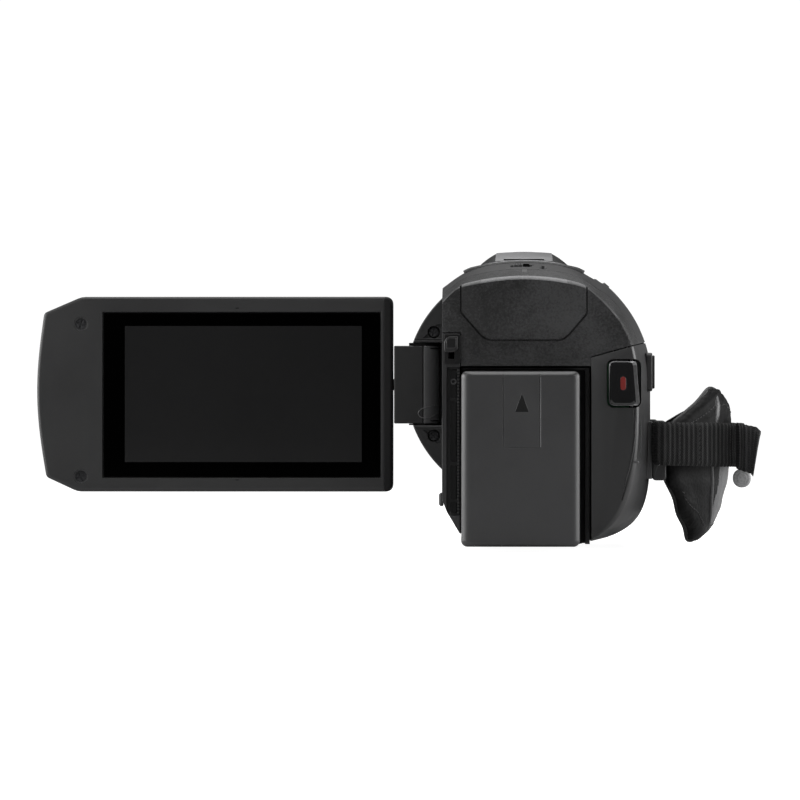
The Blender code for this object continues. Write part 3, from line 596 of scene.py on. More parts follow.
def merge(name, parts, body, cad_node=None):
    """Several closed shapes as one visible piece, keeping each one's material."""
    materials, bm = [], bmesh.new()
    for part in parts:
        start = len(bm.faces)
        bm.from_mesh(part.data)
        bm.faces.ensure_lookup_table()
        for face in bm.faces[start:]:
            material = part.data.materials[face.material_index]
            if material not in materials:
                materials.append(material)
            face.material_index = materials.index(material)
    mesh = bpy.data.meshes.new(name)
    bm.to_mesh(mesh)
    bm.free()
    for material in materials:
        mesh.materials.append(material)
    for part in parts:
        bpy.data.objects.remove(part, do_unlink=True)
    ob = bpy.data.objects.new(name, mesh)
    COLL.objects.link(ob)
    place(ob, body, cad_node)


# ============================================================ body casings
# outline of the rear face, (x, z), clockwise seen from behind, from the lower left
REAR_SECTION = [
    (-15, .4), (-20.2, 9.2), (-21.4, 12.4), (-21.4, 40), (-21.4, 63.8), (-19.2, 66.1),
    (-16.8, 67.8), (-11.5, 69.0), (-5.8, 69.8), (0, 70.1), (5.8, 69.8), (11.5, 69.0),
    (16.4, 67.6), (19.6, 65.1), (22.4, 62.2), (24.9, 59), (26.6, 56), (27.9, 52.8), (28.7, 49),
    (29.2, 45), (29.4, 40), (29.3, 30), (28.4, 21.5), (26.6, 14.5), (24.4, 9.4), (21.8, 5.8),
    (18.4, 2.9), (15.6, 1.2), (13.2, .4)]
# (y, growth from the rear outline to the full section); the first millimetre is the rounded rim
STATIONS = [
    (REAR_Y, 0.0), (-65.93, .035), (-65.78, .078), (-65.55, .122), (-65.28, .160), (-65.0, .19),
    (-64.0, .245), (-62.0, .36), (-60.0, .458), (-58.1, .537), (-57.7, .55), (-57.3, .567),
    (-54.4, .69), (-51.0, .82), (-48.5, .915), (-46.5, .974), (-45.0, 1.0), (-30.0, 1.0),
    (-5.0, 1.0), (20.0, 1.0), (BODY_Y, 1.0)]


def deck_z(x):
    """Flattened top of the deck, lower than the round drum in the middle."""
    return 75.3 - x * x / 116


def full_section():
    """Section of the grown casing, matching REAR_SECTION point by point."""
    points = [(-15.0, 0.0), (-20.4, 9.0), (LEFT_X, 12.0), (LEFT_X, 40.0),
              (LEFT_X, AXIS_Z + math.sqrt(DRUM_R ** 2 - LEFT_X ** 2))]
    for angle in map(math.radians, (122, 115, 107, 98, 90, 82, 73, 65, 57)):
        points.append((DRUM_R * math.cos(angle), AXIS_Z + DRUM_R * math.sin(angle)))
    for angle in map(math.radians, (49, 41, 33, 25, 16, 7)):
        points.append((min(GRIP_R * math.cos(angle), GRIP_X), AXIS_Z + GRIP_R * math.sin(angle)))
    points += [(GRIP_X, 40.0), (GRIP_X, 30.0), (33.4, 21.0), (32.8, 14.5), (31.2, 9.2),
               (28.3, 5.4), (23.5, 2.6), (17.5, 1.0), (13.5, 0.0)]
    return [(x, min(z, deck_z(x)) if z > 70 and abs(x) < 14 else z) for x, z in points]


FULL_SECTION = full_section()


def section_at(growth, inset):
    base = [(a[0] + (b[0] - a[0]) * growth, a[1] + (b[1] - a[1]) * growth)
            for a, b in zip(REAR_SECTION, FULL_SECTION)]
    ring = [Vector(p) for p in base[:3]]
    ring += [Vector(base[2]).lerp(Vector(base[4]), k / 4) for k in range(1, 4)]
    ring += spline(base[4:], 4)
    return inset_ring(ring, inset, 1)


def body_solid(inset=0.0, front=BODY_Y):
    """The whole casing as a solid, or a smaller core without the fine rear rim."""
    rings = []
    for y, growth in STATIONS:
        if inset and REAR_Y < y < REAR_Y + 1.5:
            continue
        ring_y = {REAR_Y: REAR_Y + inset, BODY_Y: front}.get(y, y)
        rings.append([(p.x, ring_y, p.y) for p in section_at(growth, inset)])
    return loft_bm(rings)


def core_tool(inset=WALL):
    return as_tool(body_solid(inset, BODY_Y + 3))


def cover(name, mat, region):
    """Hollow shell of the casing inside a region."""
    ob = add_mesh(body_solid(), mat, 30.0, name)
    keep_inside(ob, region)
    cut(ob, core_tool())
    return ob


def finish_cover(ob, cad_node):
    ob.data.shade_smooth()
    reshade(ob, 30.0)
    place(ob, "housing", cad_node)


def rear_cover():
    """Rear cover: rounded rim, six-sided groove, open corner for the latch."""
    rear = add_mesh(body_solid(), "textured_shell", 30.0, "rear_cover_fine")
    region = [(-30, 47.4), (SEAM_IN[0], 47.4), (SEAM_IN[0], SEAM_IN[1] + HALF_GAP),
              (SEAM_OUT[0], SEAM_OUT[1] + HALF_GAP), (40, 90), (-30, 90)]
    keep_inside(rear, slab_tool(region, "XZ", -75, SEAM_Y - HALF_GAP))
    core = core_tool()
    keep_inside(core, box_tool(-14.5, 40, -80, 60, 49.4, 90))
    groove = [(-16.55, 69.5), (-16.55, 61.4), (-11.4, 55.6), (-10.2, 54.6), (-8.9, 54.1),
              (9.2, 54.1), (10.6, 54.6), (11.9, 55.7), (16.5, 61.1), (16.5, 69.5)]
    cut(rear, core, box_tool(-30, -16.5, -80, -50, 40, 56.2),
        groove_tool(groove, 0.5, -67.0, -65.5))

    def top_rim(spot, facing):
        return spot.y < -64.98 and -.985 < facing.y < -.12 and spot.z > 66.5
    # painted highlight on the rounded top rim of the rear face, dimmer towards its ends and down
    # the sides
    paint(rear, "rolled_rim", lambda spot, facing: top_rim(spot, facing) and abs(spot.x) < 16.3)
    paint(rear, "rolled_rim_end",
          lambda spot, facing: top_rim(spot, facing) and 11.4 < abs(spot.x) < 16.3)
    paint(rear, "rolled_rim_side", lambda spot, facing: spot.y < -65.5
          and -.99 < facing.y < -.12 and spot.z > 60 and abs(spot.x) >= 16.3)
    finish_cover(rear, "rear_cover")


def on_drum(y, radius):
    """Point on the slanted line the keys face along."""
    return Vector((0, y, AXIS_Z)) + KEY_DIR * radius


def key_bores(zoom_r, photo_r):
    return (bore_tool(on_drum(ZOOM_Y, 34.0), KEY_DIR, zoom_r, 9.0),
            bore_tool(on_drum(PHOTO_Y, 33.0), KEY_DIR, photo_r, 10.0))


def top_cover():
    seam_z = SEAM_IN[1] + HALF_GAP
    region = [(-30, SEAM_Z + HALF_GAP), (5, SEAM_Z + HALF_GAP), (15, seam_z),
              (SEAM_IN[0], seam_z), (SEAM_OUT[0], SEAM_OUT[1] + HALF_GAP), (40, 90), (-30, 90)]
    top = cover("top_cover_fine", "moulded_shell",
                slab_tool(region, "XZ", SEAM_Y + HALF_GAP, 60))
    cut(top, slab_tool(rounded_rect(-3.6, 2.2, -54.6, -51.4, 1.3), "XY", 60, 90),
        bore_tool((5.0, -55.3, 72), UP, 0.92, 24, 32), *key_bores(6.1, 4.1))
    finish_cover(top, "top_cover")


def grip_cover():
    """Grip cover with a long curved crease below the record button."""
    region = [(17.65, -5), (40, -5), (40, SEAM_OUT[1] - HALF_GAP), (17.65, SEAM_IN[1] - HALF_GAP)]
    grip = cover("grip_cover_fine", "smooth_grip", slab_tool(region, "XZ", -75, 60))
    crease = [(28.9, 36.0), (29.0, 32.0), (28.9, 28.0), (28.4, 24.6), (27.6, 20.6), (26.6, 16.4),
              (25.6, 12.2)]
    cut(grip, slab_tool(rounded_rect(*grown(RECORD_PAD, .5), 1.8), "XZ", -75, -58),
        box_tool(25, 40, -49, -41, 43.5, 48.3), groove_tool(crease, 0.32, -68, -65.55))
    finish_cover(grip, "grip_cover")


def grip_ridges():
    """Low beads beside the crease that thin out at both ends, pale grey as painted highlight lines.
    """
    beads = [
        ([(29.0, -65.97, 35.6), (29.1, -65.97, 31.5), (28.9, -65.97, 27.6), (28.35, -65.97, 24.2),
          (27.5, -65.97, 20.4), (26.5, -65.97, 16.4), (25.6, -65.97, 12.8)],
         .20, "rolled_leather"),
        ([(30.55, -64.6, 33.4), (30.6, -64.6, 29.0), (30.5, -64.6, 23.2)],
         .13, "rolled_rim_side"),
        ([(28.6, -65.9, 22.2), (29.6, -65.7, 22.3), (30.3, -65.2, 22.0)],
         .22, "rolled_rim_side")]
    parts = [tube(spline(points, 8), radius, mat, 8,
                  taper=lambda u: max(.08, math.sin(math.pi * u) ** .5))
             for points, radius, mat in beads]
    merge("grip_ridges", parts, "housing")


def left_cover():
    """Left cover with door openings and a stepped strip beside the battery."""
    region = [(-75, -5), (60, -5), (60, SEAM_Z - HALF_GAP), (SEAM_Y + HALF_GAP, SEAM_Z - HALF_GAP),
              (SEAM_Y + HALF_GAP, 55.9), (-75, 55.9)]
    left = cover("left_cover_fine", "moulded_shell", slab_tool(region, "YZ", -40, -16.8))
    openings = [slab_tool(rounded_rect(*grown(door, .3), 1.2), "YZ", -25, -17.6)
                for door in (TERMINAL_DOOR, CARD_DOOR)]
    cut(left, *openings, bore_tool((-20, 8, 40), (1, 0, 0), 3.3, 10),
        box_tool(-19.9, -18.1, -70, -60, 49.2, 54.6))
    # the strip is 1.1 mm deep, with a deeper channel along its outer side
    cut(left, box_tool(-20.25, -15.0, -67, -64.9, 8.2, 47.2),
        box_tool(-20.25, -19.35, -67, -64.35, 8.2, 47.2))
    finish_cover(left, "left_cover")


def side_strip():
    """Plates, a small ring and a comb of ribs in the strip beside the battery."""
    parts = [slab(rounded_rect(-19.2, -17.6, z0, z1, .25), "XZ", -65.35, -64.7, "shaded_plastic",
                  .14, 2) for z0, z1 in ((39.0, 46.6), (22.2, 38.2), (12.5, 21.4), (8.9, 11.8))]
    parts.append(lathe([(.45, 0), (.8, 0), (.8, .3), (.45, .3)], "panel_plastic",
                       at=(-18.4, -65.55, 43.3), seg=32))
    parts += [box((-17.45, -16.85, -65.5, -64.8, z, z + .45), "panel_plastic", .08, 2)
              for z in np.arange(8.8, 46.6, .85).tolist()]
    merge("side_strip", parts, "housing")


def base_cover():
    region = [(-16.5, -5), (17.35, -5), (17.35, 6), (-16.5, 6)]
    base = cover("base_cover_fine", "moulded_shell", slab_tool(region, "XZ", -46.9, 60))
    cut(base, bore_tool((0, 14, 0), UP, 6.3, 10))
    cut(base, *[box_tool(-11, 11, y - .4, y + .4, -1, 0.35)
                for y in (-38, -35.5, -33, -9, -6.5, -4)])
    finish_cover(base, "base_cover")


# ================================================== battery, latch, buttons
def battery():
    x0, x1, y0, z0, z1 = -16.3, 14.5, -82.0, 0.4, 46.0
    corner_r = 1.6
    rings = []
    for k in range(9):      # rounded rear face
        angle = math.radians(90 * k / 8)
        side, rise = 1 - math.sin(angle), 1 - math.cos(angle)
        ring = rounded_rect(x0 + 2.5 * side, x1 - 2.1 * side, z0 + 1.0 * side, z1 - 1.4 * side,
                            corner_r - 0.5 * side, 10)
        rings.append([(x, y0 + 2.0 * rise, z) for x, z in ring])
    for y, inset in ((-64.0, 0.0), (-52.0, 0.0), (-51.2, 0.06), (-50.5, 0.3), (-50.0, 0.8)):
        ring = rounded_rect(x0 + inset, x1 - inset, z0 + inset, z1 - inset, corner_r - inset, 10)
        rings.append([(x, y, z) for x, z in ring])
    case = loft(rings, "battery_case", 25.0)
    # tongue in the upper middle, set off by two grooves and its lower edge
    cut(case, box_tool(-5.5, -5.25, -83, -81.8, 26.2, 50),
        box_tool(4.0, 4.2, -83, -81.75, 26.2, 50),
        box_tool(-5.3, 4.1, -83, -81.93, 26.1, 26.22), box_tool(-11, 11, -51.2, -49, -2, 15))
    triangle = slab([(-2.25, 35.4), (1.2, 35.4), (-0.52, 40.2)], "XZ", -82.04, -81.9,
                    "pad_print", bevel=0)
    # painted highlight: a thin pale strip along the right groove of the tongue
    edge = box((4.2, 4.42, -82.03, -81.8, 26.3, 44.4), "rolled_rim", 0)
    merge("battery_case", [case, triangle, edge], "battery", "battery_pack")


def battery_latch():
    """Release block: slotted bed, raised pad with lit edge lines, stem through the slot."""
    bed = slab(rounded_rect(-20.95, -16.6, 48.0, 55.75, .5), "XZ", -66.55, -66.02,
               "shaded_plastic", .12, 3, name="latch_bed")
    cut(bed, box_tool(-19.85, -18.15, -68, -64, 49.3, 54.5))
    place(bed, "housing")
    pad_outline = [(-20.9, 51.6), (-20.4, 51.0), (-18.0, 51.0), (-17.3, 51.8), (-17.3, 55.2),
                   (-19.6, 55.2), (-20.3, 54.8), (-20.9, 53.6)]
    top_outline = [(-20.2, 52.1), (-18.2, 52.1), (-17.8, 52.5), (-17.8, 54.7), (-19.5, 54.7),
                   (-20.2, 54.0)]
    inner_line = [(-20.2, 54.0), (-20.2, 52.1), (-18.2, 52.1), (-17.8, 52.5), (-17.8, 54.7)]
    outer_line = [(-20.75, 53.4), (-20.75, 51.7), (-20.3, 51.15), (-18.1, 51.15),
                  (-17.45, 51.9), (-17.45, 55.0)]
    parts = [slab(pad_outline, "XZ", -67.45, -66.6, "arm_plastic", .3, 4),
             slab(top_outline, "XZ", -67.55, -67.3, "shaded_plastic", .1, 3)]
    parts += [tube([(x, y, z) for x, z in line], .09, "rolled_leather", 6)
              for y, line in ((-67.5, inner_line), (-67.2, outer_line))]
    parts.append(box((-19.6, -18.4, -66.5, -63.4, 52.4, 54.2), "moulded_shell", 0.1))
    merge("battery_latch_fine", parts, "latch", "battery_latch")


def record_outline(inset, right_inset):
    x0, x1, z0, z1 = RECORD_PAD
    x0, x1, z0, z1 = x0 + inset, x1 - right_inset, z0 + inset, z1 - inset
    radius = 1.3
    return ([(x1 - 0.75, z1 - 0.9), (x1 - 0.95, z1 - 0.25), (x1 - 1.6, z1)]
            + arc(x0 + radius, z1 - radius, radius, 90, 180, 6)
            + arc(x0 + radius, z0 + radius, radius, 180, 270, 6)
            + [(x1 - 0.9, z0), (x1 - 0.25, z0 + 0.25), (x1, z0 + 0.9)])


def record_button():
    """Piano-black pad with a broad bevel on its slanted right side."""
    # y, inset all round, inset on the right
    steps = ((-62.6, .1, .1), (-66.0, 0, 0), (-66.5, .03, .06), (-66.8, .24, 1.0),
             (-66.92, .3, 1.2), (-66.98, .5, 1.4), (-67.0, .7, 1.6))
    pad = loft([[(x, y, z) for x, z in record_outline(inset, right)]
                for y, inset, right in steps], "piano_black", 22.0)
    # painted highlight: a bright band round the bevel, pale grey on its slanted right side
    paint(pad, "bright_rim", lambda spot, facing: -66.86 < spot.y < -66.45)
    paint(pad, "rolled_leather", lambda spot, facing: -66.86 < spot.y < -66.42
          and spot.x > RECORD_PAD[1] - 1.0)
    mark = slab(rounded_rect(25.25, 26.65, 41.1, 44.6, .68, 10), "XZ", -67.07, -66.9,
                "record_red", .03, 2)
    merge("record_button_fine", [pad, mark], "rec_key", "rec_button")


def charge_lamp():
    lamp = cylinder_bm((5.0, -55.3, 71.6), UP, 0.78, 4.6, 24, 0.15)
    place(add_mesh(lamp, "moulded_shell", 35.0, "charge_lamp"), "housing")


def mode_switch():
    parts = [box((-2.9, -.3, -54.1, -51.9, 70.5, 74.35), "panel_plastic", .25)]
    parts += [box((x - .15, x + .15, -54.0, -52.0, 74.2, 74.6), "panel_plastic", .08, 2)
              for x in (-2.3, -1.6, -.9)]
    parts.append(slab(rounded_rect(-2.85, -1.45, 73.45, 74.3, .38, 6), "XZ", -54.25, -54.0,
                      "rolled_leather", .06, 2))
    merge("mode_switch_fine", parts, "mode_key", "mode_switch")


def side_nub():
    """Ribbed nub on the left side, low down."""
    parts = [box((-22.1, -21.2, -62.0, -57.0, 10.6, 14.1), "moulded_shell", .2)]
    parts += [box((-22.35, -22.0, y, y + .5, 10.9, 13.8), "moulded_shell", .1, 2)
              for y in (-61.2, -60.2, -59.2, -58.2)]
    merge("side_nub", parts, "housing")


# ================================================= zoom, photo and power keys
def onto_drum(parts, y, radius):
    """Move shapes built upright at the origin onto the drum's upper right."""
    turn = Vector(UP).rotation_difference(KEY_DIR).to_matrix().to_4x4()
    for part in parts:
        part.data.transform(Matrix.Translation(on_drum(y, radius) * MM) @ turn)
    return parts


def zoom_lever():
    disc = [(0, -1.1), (5.55, -1.1), (5.7, -.9), (5.7, .55), (5.45, .95), (4.9, 1.1), (0, 1.0)]
    parts = [lathe(disc, "smooth_grip", axis="Z", seg=96),
             box((-1.2, 1.2, -4.7, 4.7, .2, 2.35), "smooth_grip", .55, 4)]
    for k in range(5):
        rib_y = 1.5 * k
        parts.append(box((-.95, .95, -3.2 + rib_y, -2.8 + rib_y, 2.2, 2.5), "smooth_grip", .1, 2))
    merge("zoom_lever_fine", onto_drum(parts, ZOOM_Y, 32.5), "zoom_key", "zoom_lever")


def photo_button():
    profile = [(0, -2.3), (3.6, -2.3), (3.7, -2.1), (3.7, 1.7), (3.45, 2.15), (3.0, 2.3),
               (1.5, 2.18), (0, 2.12)]
    parts = [lathe(profile, "smooth_grip", axis="Z", seg=72)]
    merge("photo_button_fine", onto_drum(parts, PHOTO_Y, 31.6), "photo_key", "photo_button")


def power_button():
    profile = [(0, -1.3), (2.9, -1.3), (3.0, -1.1), (3.0, .85), (2.7, 1.2), (2.2, 1.3),
               (1.7, 1.15), (0, 1.1)]
    key = lathe(profile, "smooth_grip", axis="Z", seg=64)
    key.data.transform(Matrix.Translation(mm(-20.6, 8, 40))
                       @ Matrix.Rotation(-math.pi / 2, 4, "Y"))
    merge("power_button_fine", [key], "power_key", "power_button")


def side_door(name, cad_node, body, rect):
    """Rounded plate with a thumb notch at the lower edge and a line near the upper one."""
    y0, y1, z0, z1 = rect
    mid_y = (y0 + y1) / 2
    door = slab(rounded_rect(*rect, 1.1), "YZ", LEFT_X + .05, LEFT_X + 1.65, "moulded_shell",
                .3, 4, name=name)
    cut(door, slab_tool(rounded_rect(mid_y - 3.2, mid_y + 3.2, z0 - 1, z0 + 1.0, .9), "YZ",
                        -25, LEFT_X + .75),
        box_tool(-25, LEFT_X + .3, y0 + 1.0, y1 - 1.0, z1 - 2.2, z1 - 1.9))
    place(door, body, cad_node)


def inlet_door():
    """Rubber cover of the power inlet on the grip side."""
    door = slab(rounded_rect(-52, -38, 41.5, 50.3, 1.0), "YZ", GRIP_X + .45, GRIP_X + 1.05,
                "ring_rubber", .25, 4, name="dc_door_fine")
    cut(door, box_tool(34.4, 36, -50.5, -50.2, 42.6, 49.2),
        box_tool(34.4, 36, -39.8, -39.5, 42.6, 49.2))
    place(door, "dc_door", "dc_cover")


# ================================================================ LCD panel
LCD_X1, LCD_Z0, LCD_Z1 = -36.7, 12.8, 67.45
LCD_SCREW_X, LCD_SCREWS = -124.2, (("lcd_screw_upper", 59.8, 20), ("lcd_screw_lower", 17.1, 65))


def lcd_ring(inset):
    """Panel outline: bowed outer end, clipped corners; set in first, rounded after."""
    outer_end = []
    for k in range(21):
        t = k / 20
        x = -134.6 + .6 * t - 2.3 * math.sin(math.pi * t)
        outer_end.append((x, 62.9 + (16.9 - 62.9) * t))
    points = [Vector(p) for p in [(-124.0, LCD_Z1)] + outer_end
              + [(-125.2, LCD_Z0), (LCD_X1, LCD_Z0), (LCD_X1, LCD_Z1)]]
    moved = inset_ring(points, inset, -1)
    ring = []
    for i, corner in enumerate(moved):
        follow = (i + 1) % len(points)
        arriving = (points[i] - points[i - 1]).normalized()
        turn = arriving.angle((points[follow] - points[i]).normalized())
        if turn <= math.radians(20):
            ring.append(corner)
            continue
        before, after = moved[i - 1], moved[follow]
        wanted = 2.2 if turn > math.radians(80) else 1.4
        size = min(max(.3, wanted - .7 * inset), (corner - before).length * .4,
                   (after - corner).length * .4)
        start = corner + (before - corner).normalized() * size
        end = corner + (after - corner).normalized() * size
        ring += [start.lerp(corner, t).lerp(corner.lerp(end, t), t)
                 for t in (0, .15, .3, .45, .55, .7, .85, 1.0)]
    return ring


def lcd_shell(name, steps):
    """steps holds (y, inset)."""
    rings = [[(p.x, y, p.y) for p in lcd_ring(inset)] for y, inset in steps]
    return loft(rings, "panel_plastic", 24.0, name)


def lcd_frame():
    ob = lcd_shell("lcd_frame_fine", [(37.3, 1.0), (37.33, .7), (37.43, .42), (37.62, .18),
                                      (37.9, .04), (38.2, 0), (39.4, 0), (39.6, .08), (39.7, .3)])
    cut(ob, box_tool(-118.2, -40.0, 36, 38.55, 16.6, 63.2),
        box_tool(-112.9, -45.3, 38, 41, 19.6, 59.9))
    cut(ob, *[bore_tool((LCD_SCREW_X, 37.5, z), (0, 1, 0), 1.95, 1.4) for _, z, _ in LCD_SCREWS])
    cut(ob, box_tool(-39.25, -39.17, 36, 37.42, 12, 68))
    paint(ob, "shaded_plastic", lambda spot, facing: spot.x > -39.2 and facing.y < -.2)
    reshade(ob, 24)
    place(ob, "lcd_panel", "lcd_frame")


def lcd_back():
    ob = lcd_shell("lcd_back_fine", [(40.0, .3), (40.1, .08), (40.3, 0), (44.4, 0), (45.1, .12),
                                     (45.8, .5), (46.3, 1.05), (46.6, 1.8), (46.7, 2.6)])
    cut(ob, bore_tool((-40.0, HINGE_Y, TILT_Z), (1, 0, 0), 1.95, 9.0),
        box_tool(-112, -46, 46.45, 48, 39.85, 40.15), box_tool(-60.5, -60.1, 46.45, 48, 18, 62))
    reshade(ob, 24)
    place(ob, "lcd_panel", "lcd_back_cover")


def lcd_glass():
    """Cover glass: black border with a slightly clearer window."""
    front_y = 37.45
    parts = [slab(rounded_rect(-117.9, -40.3, 16.9, 62.9, .35, 5), "XZ", front_y, 38.3,
                  "cover_glass", .12, 3),
             slab(rounded_rect(-111.9, -45.45, 21.1, 59.25, .2, 4), "XZ", front_y - .03,
                  front_y + .1, "display_area", 0)]
    merge("lcd_glass_fine", parts, "lcd_panel", "lcd_glass")


def screw(at, radius, slot_angle, length, name="part"):
    """Cross-slotted screw, head towards -Y."""
    ob = lathe([(0, 0), (radius * .86, 0), (radius * .97, .08), (radius, .22), (radius, length),
                (0, length)], "black_screw", axis="Z", seg=48, name=name)
    for angle in (slot_angle, slot_angle + 90):
        slot = slab_bm(rounded_rect(-radius * .82, radius * .82, -radius * .17, radius * .17,
                                    radius * .1, 4), "XY", -.3, .28)
        bmesh.ops.rotate(slot, cent=(0, 0, 0), verts=slot.verts,
                         matrix=Matrix.Rotation(math.radians(angle), 3, "Z"))
        cut(ob, as_tool(slot))
    ob.data.transform(Matrix.Translation(mm(*at)) @ LATHE_TURN["Y"])
    return ob


def lcd_screws():
    for name, z, angle in LCD_SCREWS:
        parts = [screw((LCD_SCREW_X, 37.62, z), 1.6, angle, .85),
                 lathe([(1.62, 0), (1.9, 0), (1.92, .5), (1.62, .5)], "moulded_shell",
                       at=(LCD_SCREW_X, 37.4, z), seg=48)]
        merge(name + "_fine", parts, "lcd_panel", name)


def lcd_marks():
    """Two tiny marks on the frame's long edges."""
    x = -80.36
    for i, z in enumerate((64.26, 16.1)):
        outline = rounded_rect(x - .45, x + .45, z - .13, z + .13, .1, 3)
        place(slab(outline, "XZ", 37.26, 37.5, "pad_print", 0, name="lcd_mark_%d" % i),
              "lcd_panel")


# ============================================================== hinge and arm
BARREL_R = 4.5


def hinge_arm():
    outline = ([(-36.4, 37.5), (-35.6, 37.5), (-29.2, 37.5), (-28.6, 37.5)]
               + arc(HINGE_X, HINGE_Y, BARREL_R, -90, 90, 28)
               + [(-28.6, 46.5), (-29.2, 46.5), (-35.6, 46.5), (-36.4, 46.5)])
    arm = slab(outline, "XY", 31.9, 53.7, "arm_plastic", .35, 4, name="hinge_arm_fine")
    cut(arm, bore_tool((HINGE_X, HINGE_Y, 42), UP, 1.5, 40),
        bore_tool((-36.4, HINGE_Y, TILT_Z), (1, 0, 0), 1.9, 8.0),
        box_tool(-28.35, -28.05, 36, 37.9, 30, 56), box_tool(-40, -22, 37.9, 46.1, 32.5, 32.8),
        box_tool(-40, -22, 37.9, 46.1, 52.8, 53.1))
    # painted light: the barrel faces turned to the rear get a paler copy of the arm plastic
    paint(arm, "arm_barrel", lambda spot, facing: spot.x > -28.2 and facing.y < -.25)
    # raised rounded loop low on the barrel, (x, z)
    loop = [(-24.0, 36.9), (-25.6, 36.9), (-28.4, 36.1), (-29.5, 35.2), (-29.4, 34.2),
            (-28.6, 33.6), (-27.0, 33.5), (-25.0, 34.3), (-23.9, 35.1)]
    points = []
    for p in spline(loop, 6):
        depth = math.sqrt(max(.01, BARREL_R ** 2 - max(0.0, p.x - HINGE_X) ** 2))
        points.append((p.x, HINGE_Y - depth - .02, p.y))
    place(tube(points, .13, "arm_barrel", 8, name="arm_loop"), "lcd_arm")
    reshade(arm, 28)
    place(arm, "lcd_arm", "hinge_arm")


def lobe_outline(flat_z, side, inset):
    radius = DRUM_R - inset
    edge_x = -22.3 - inset
    edge_z = flat_z + side * inset
    start = 180 - math.degrees(math.asin((edge_z - AXIS_Z) / radius))
    end = math.degrees(math.acos(edge_x / radius))
    return (arc(0, AXIS_Z, radius, start, end if side > 0 else 360 - end, 26)
            + [(edge_x, edge_z)])


def hinge_lobe(name, side, flat_z, screw_z, bore_z, slot_angle):
    """Housing lobe above (side 1) or below (side -1) the arm, with its screw."""
    steps = ((37.2, .42), (37.24, .26), (37.36, .12), (37.55, .03), (37.8, 0), (46.4, 0),
             (46.75, .1), (46.9, .35))
    lobe = loft([[(x, y, z) for x, z in lobe_outline(flat_z, side, inset)]
                 for y, inset in steps], "moulded_shell", name="hinge_lobe_%s_fine" % name)
    recess = [(-28.3, screw_z - 1.7 * side), (-22.9, screw_z - 1.7 * side),
              (-22.9, screw_z + 2.2 * side), (-24.2, screw_z + 2.2 * side)]
    line_z = flat_z + .8 * side
    cut(lobe, slab_tool(recess, "XZ", 36, 37.75),
        bore_tool((HINGE_X, HINGE_Y, bore_z), UP, 1.5, 8.0),
        bore_tool((-25.2, 37.5, screw_z), (0, 1, 0), 1.75, 3.2),
        box_tool(-33, -22, 36, 37.45, line_z - .1, line_z + .1))
    reshade(lobe, 26)
    place(lobe, "housing", "hinge_cover_" + name)
    head = screw((-25.2, 37.85, screw_z), 1.4, slot_angle, .8, "hinge_screw_%s_fine" % name)
    place(head, "housing", "hinge_screw_" + name)


# =============================================================== hand strap
TAPE_HALF, RIB_PITCH, RIB_HEIGHT = .42, 1.32, .30   # half thickness, ribs of the tape
TAPE_ROWS, EDGE_WAVE = 12, .10


def evenly(path, spacing):
    """(point, distance) pairs at even spacing along an XY path, and its length."""
    fine = spline([(x, y, 0) for x, y in path], 24)
    runs = [0.0]
    for a, b in zip(fine, fine[1:]):
        runs.append(runs[-1] + (b - a).length)
    total = runs[-1]
    count = int(total / spacing)
    points, j = [], 0
    for i in range(count + 1):
        run = total * i / count
        while j < len(runs) - 2 and runs[j + 1] < run:
            j += 1
        t = (run - runs[j]) / max(1e-9, runs[j + 1] - runs[j])
        points.append((fine[j].lerp(fine[j + 1], min(max(t, 0), 1)), run))
    return points, total


def tape(path, low_at, high_at, mat, spacing, name):
    """Ribbed tape standing on edge: crosswise ribs, soft selvedges, slightly wavy edges."""
    points, total = evenly(path, spacing)
    last = len(points) - 1
    rings = []
    for i, (p, run) in enumerate(points):
        along = (points[min(i + 2, last)][0] - points[max(i - 2, 0)][0]).normalized()
        across = Vector((-along.y, along.x, 0))
        ripple = EDGE_WAVE * math.sin(run * 2 * math.pi / RIB_PITCH) * .5
        low = (low_at(run / total) + ripple
               + EDGE_WAVE * 1.3 * noise.noise(Vector((run * .12, 0, 3))))
        high = (high_at(run / total) + ripple
                + EDGE_WAVE * 1.3 * noise.noise(Vector((run * .12, 5, 3))))
        rib = RIB_HEIGHT * (0.5 + 0.5 * math.cos(2 * math.pi * run / RIB_PITCH)) ** 1.1
        front, back = [], []
        for k in range(TAPE_ROWS + 1):
            w = k / TAPE_ROWS
            z = low + (high - low) * w
            edge = min(1.0, min(w, 1 - w) * TAPE_ROWS / 1.2 + .25)
            yarn = .035 * noise.noise(Vector((run * 2.2, z * 2.6, 0)))
            bow = .25 * math.sin(w * math.pi) * math.sin(run * .11 + 1.0)
            half = TAPE_HALF * edge + rib * edge
            ahead, behind = half + yarn + bow, half + yarn - bow
            front.append((p.x - across.x * ahead, p.y - across.y * ahead, z))
            back.append((p.x + across.x * behind, p.y + across.y * behind, z))
        rings.append(front + back[::-1])
    return loft(rings, mat, 60.0, name)


# path of the webbing in (x, y), from the rear eyelet round to the front one
WEBBING_PATH = [
    (34.7, -47.2), (34.35, -50.0), (35.1, -51.75), (37.0, -52.1), (39.4, -51.3), (44.0, -49.8),
    (50.0, -47.2), (54.6, -43.0), (57.4, -36.0), (58.9, -24.0), (59.4, -8.0), (58.6, 8.0),
    (55.4, 22.0), (49.8, 32.5), (43.6, 40.6), (39.0, 44.0), (36.8, 44.4), (35.0, 43.9),
    (34.45, 42.0), (34.7, 40.0)]


def strap_webbing():
    def rise(u):
        return math.sin(math.pi * min(u * 1.9, 1.0) / 2)
    web = tape(WEBBING_PATH,
               lambda u: 21.4 - 1.1 * rise(u) * (1 if u < .55 else (1 - u) / .45),
               lambda u: 32.7 - .5 * rise(u), "grosgrain", .17, "strap_webbing_fine")
    # painted shade where the webbing bends back towards the tail, darkest in the fold
    paint(web, "grosgrain_shaded", lambda spot, facing: 49.3 < spot.x <= 51.4 and spot.y < -38)
    paint(web, "grosgrain_fold_shade", lambda spot, facing: spot.x > 51.4 and spot.y < -36)
    place(web, "housing", "strap_webbing")


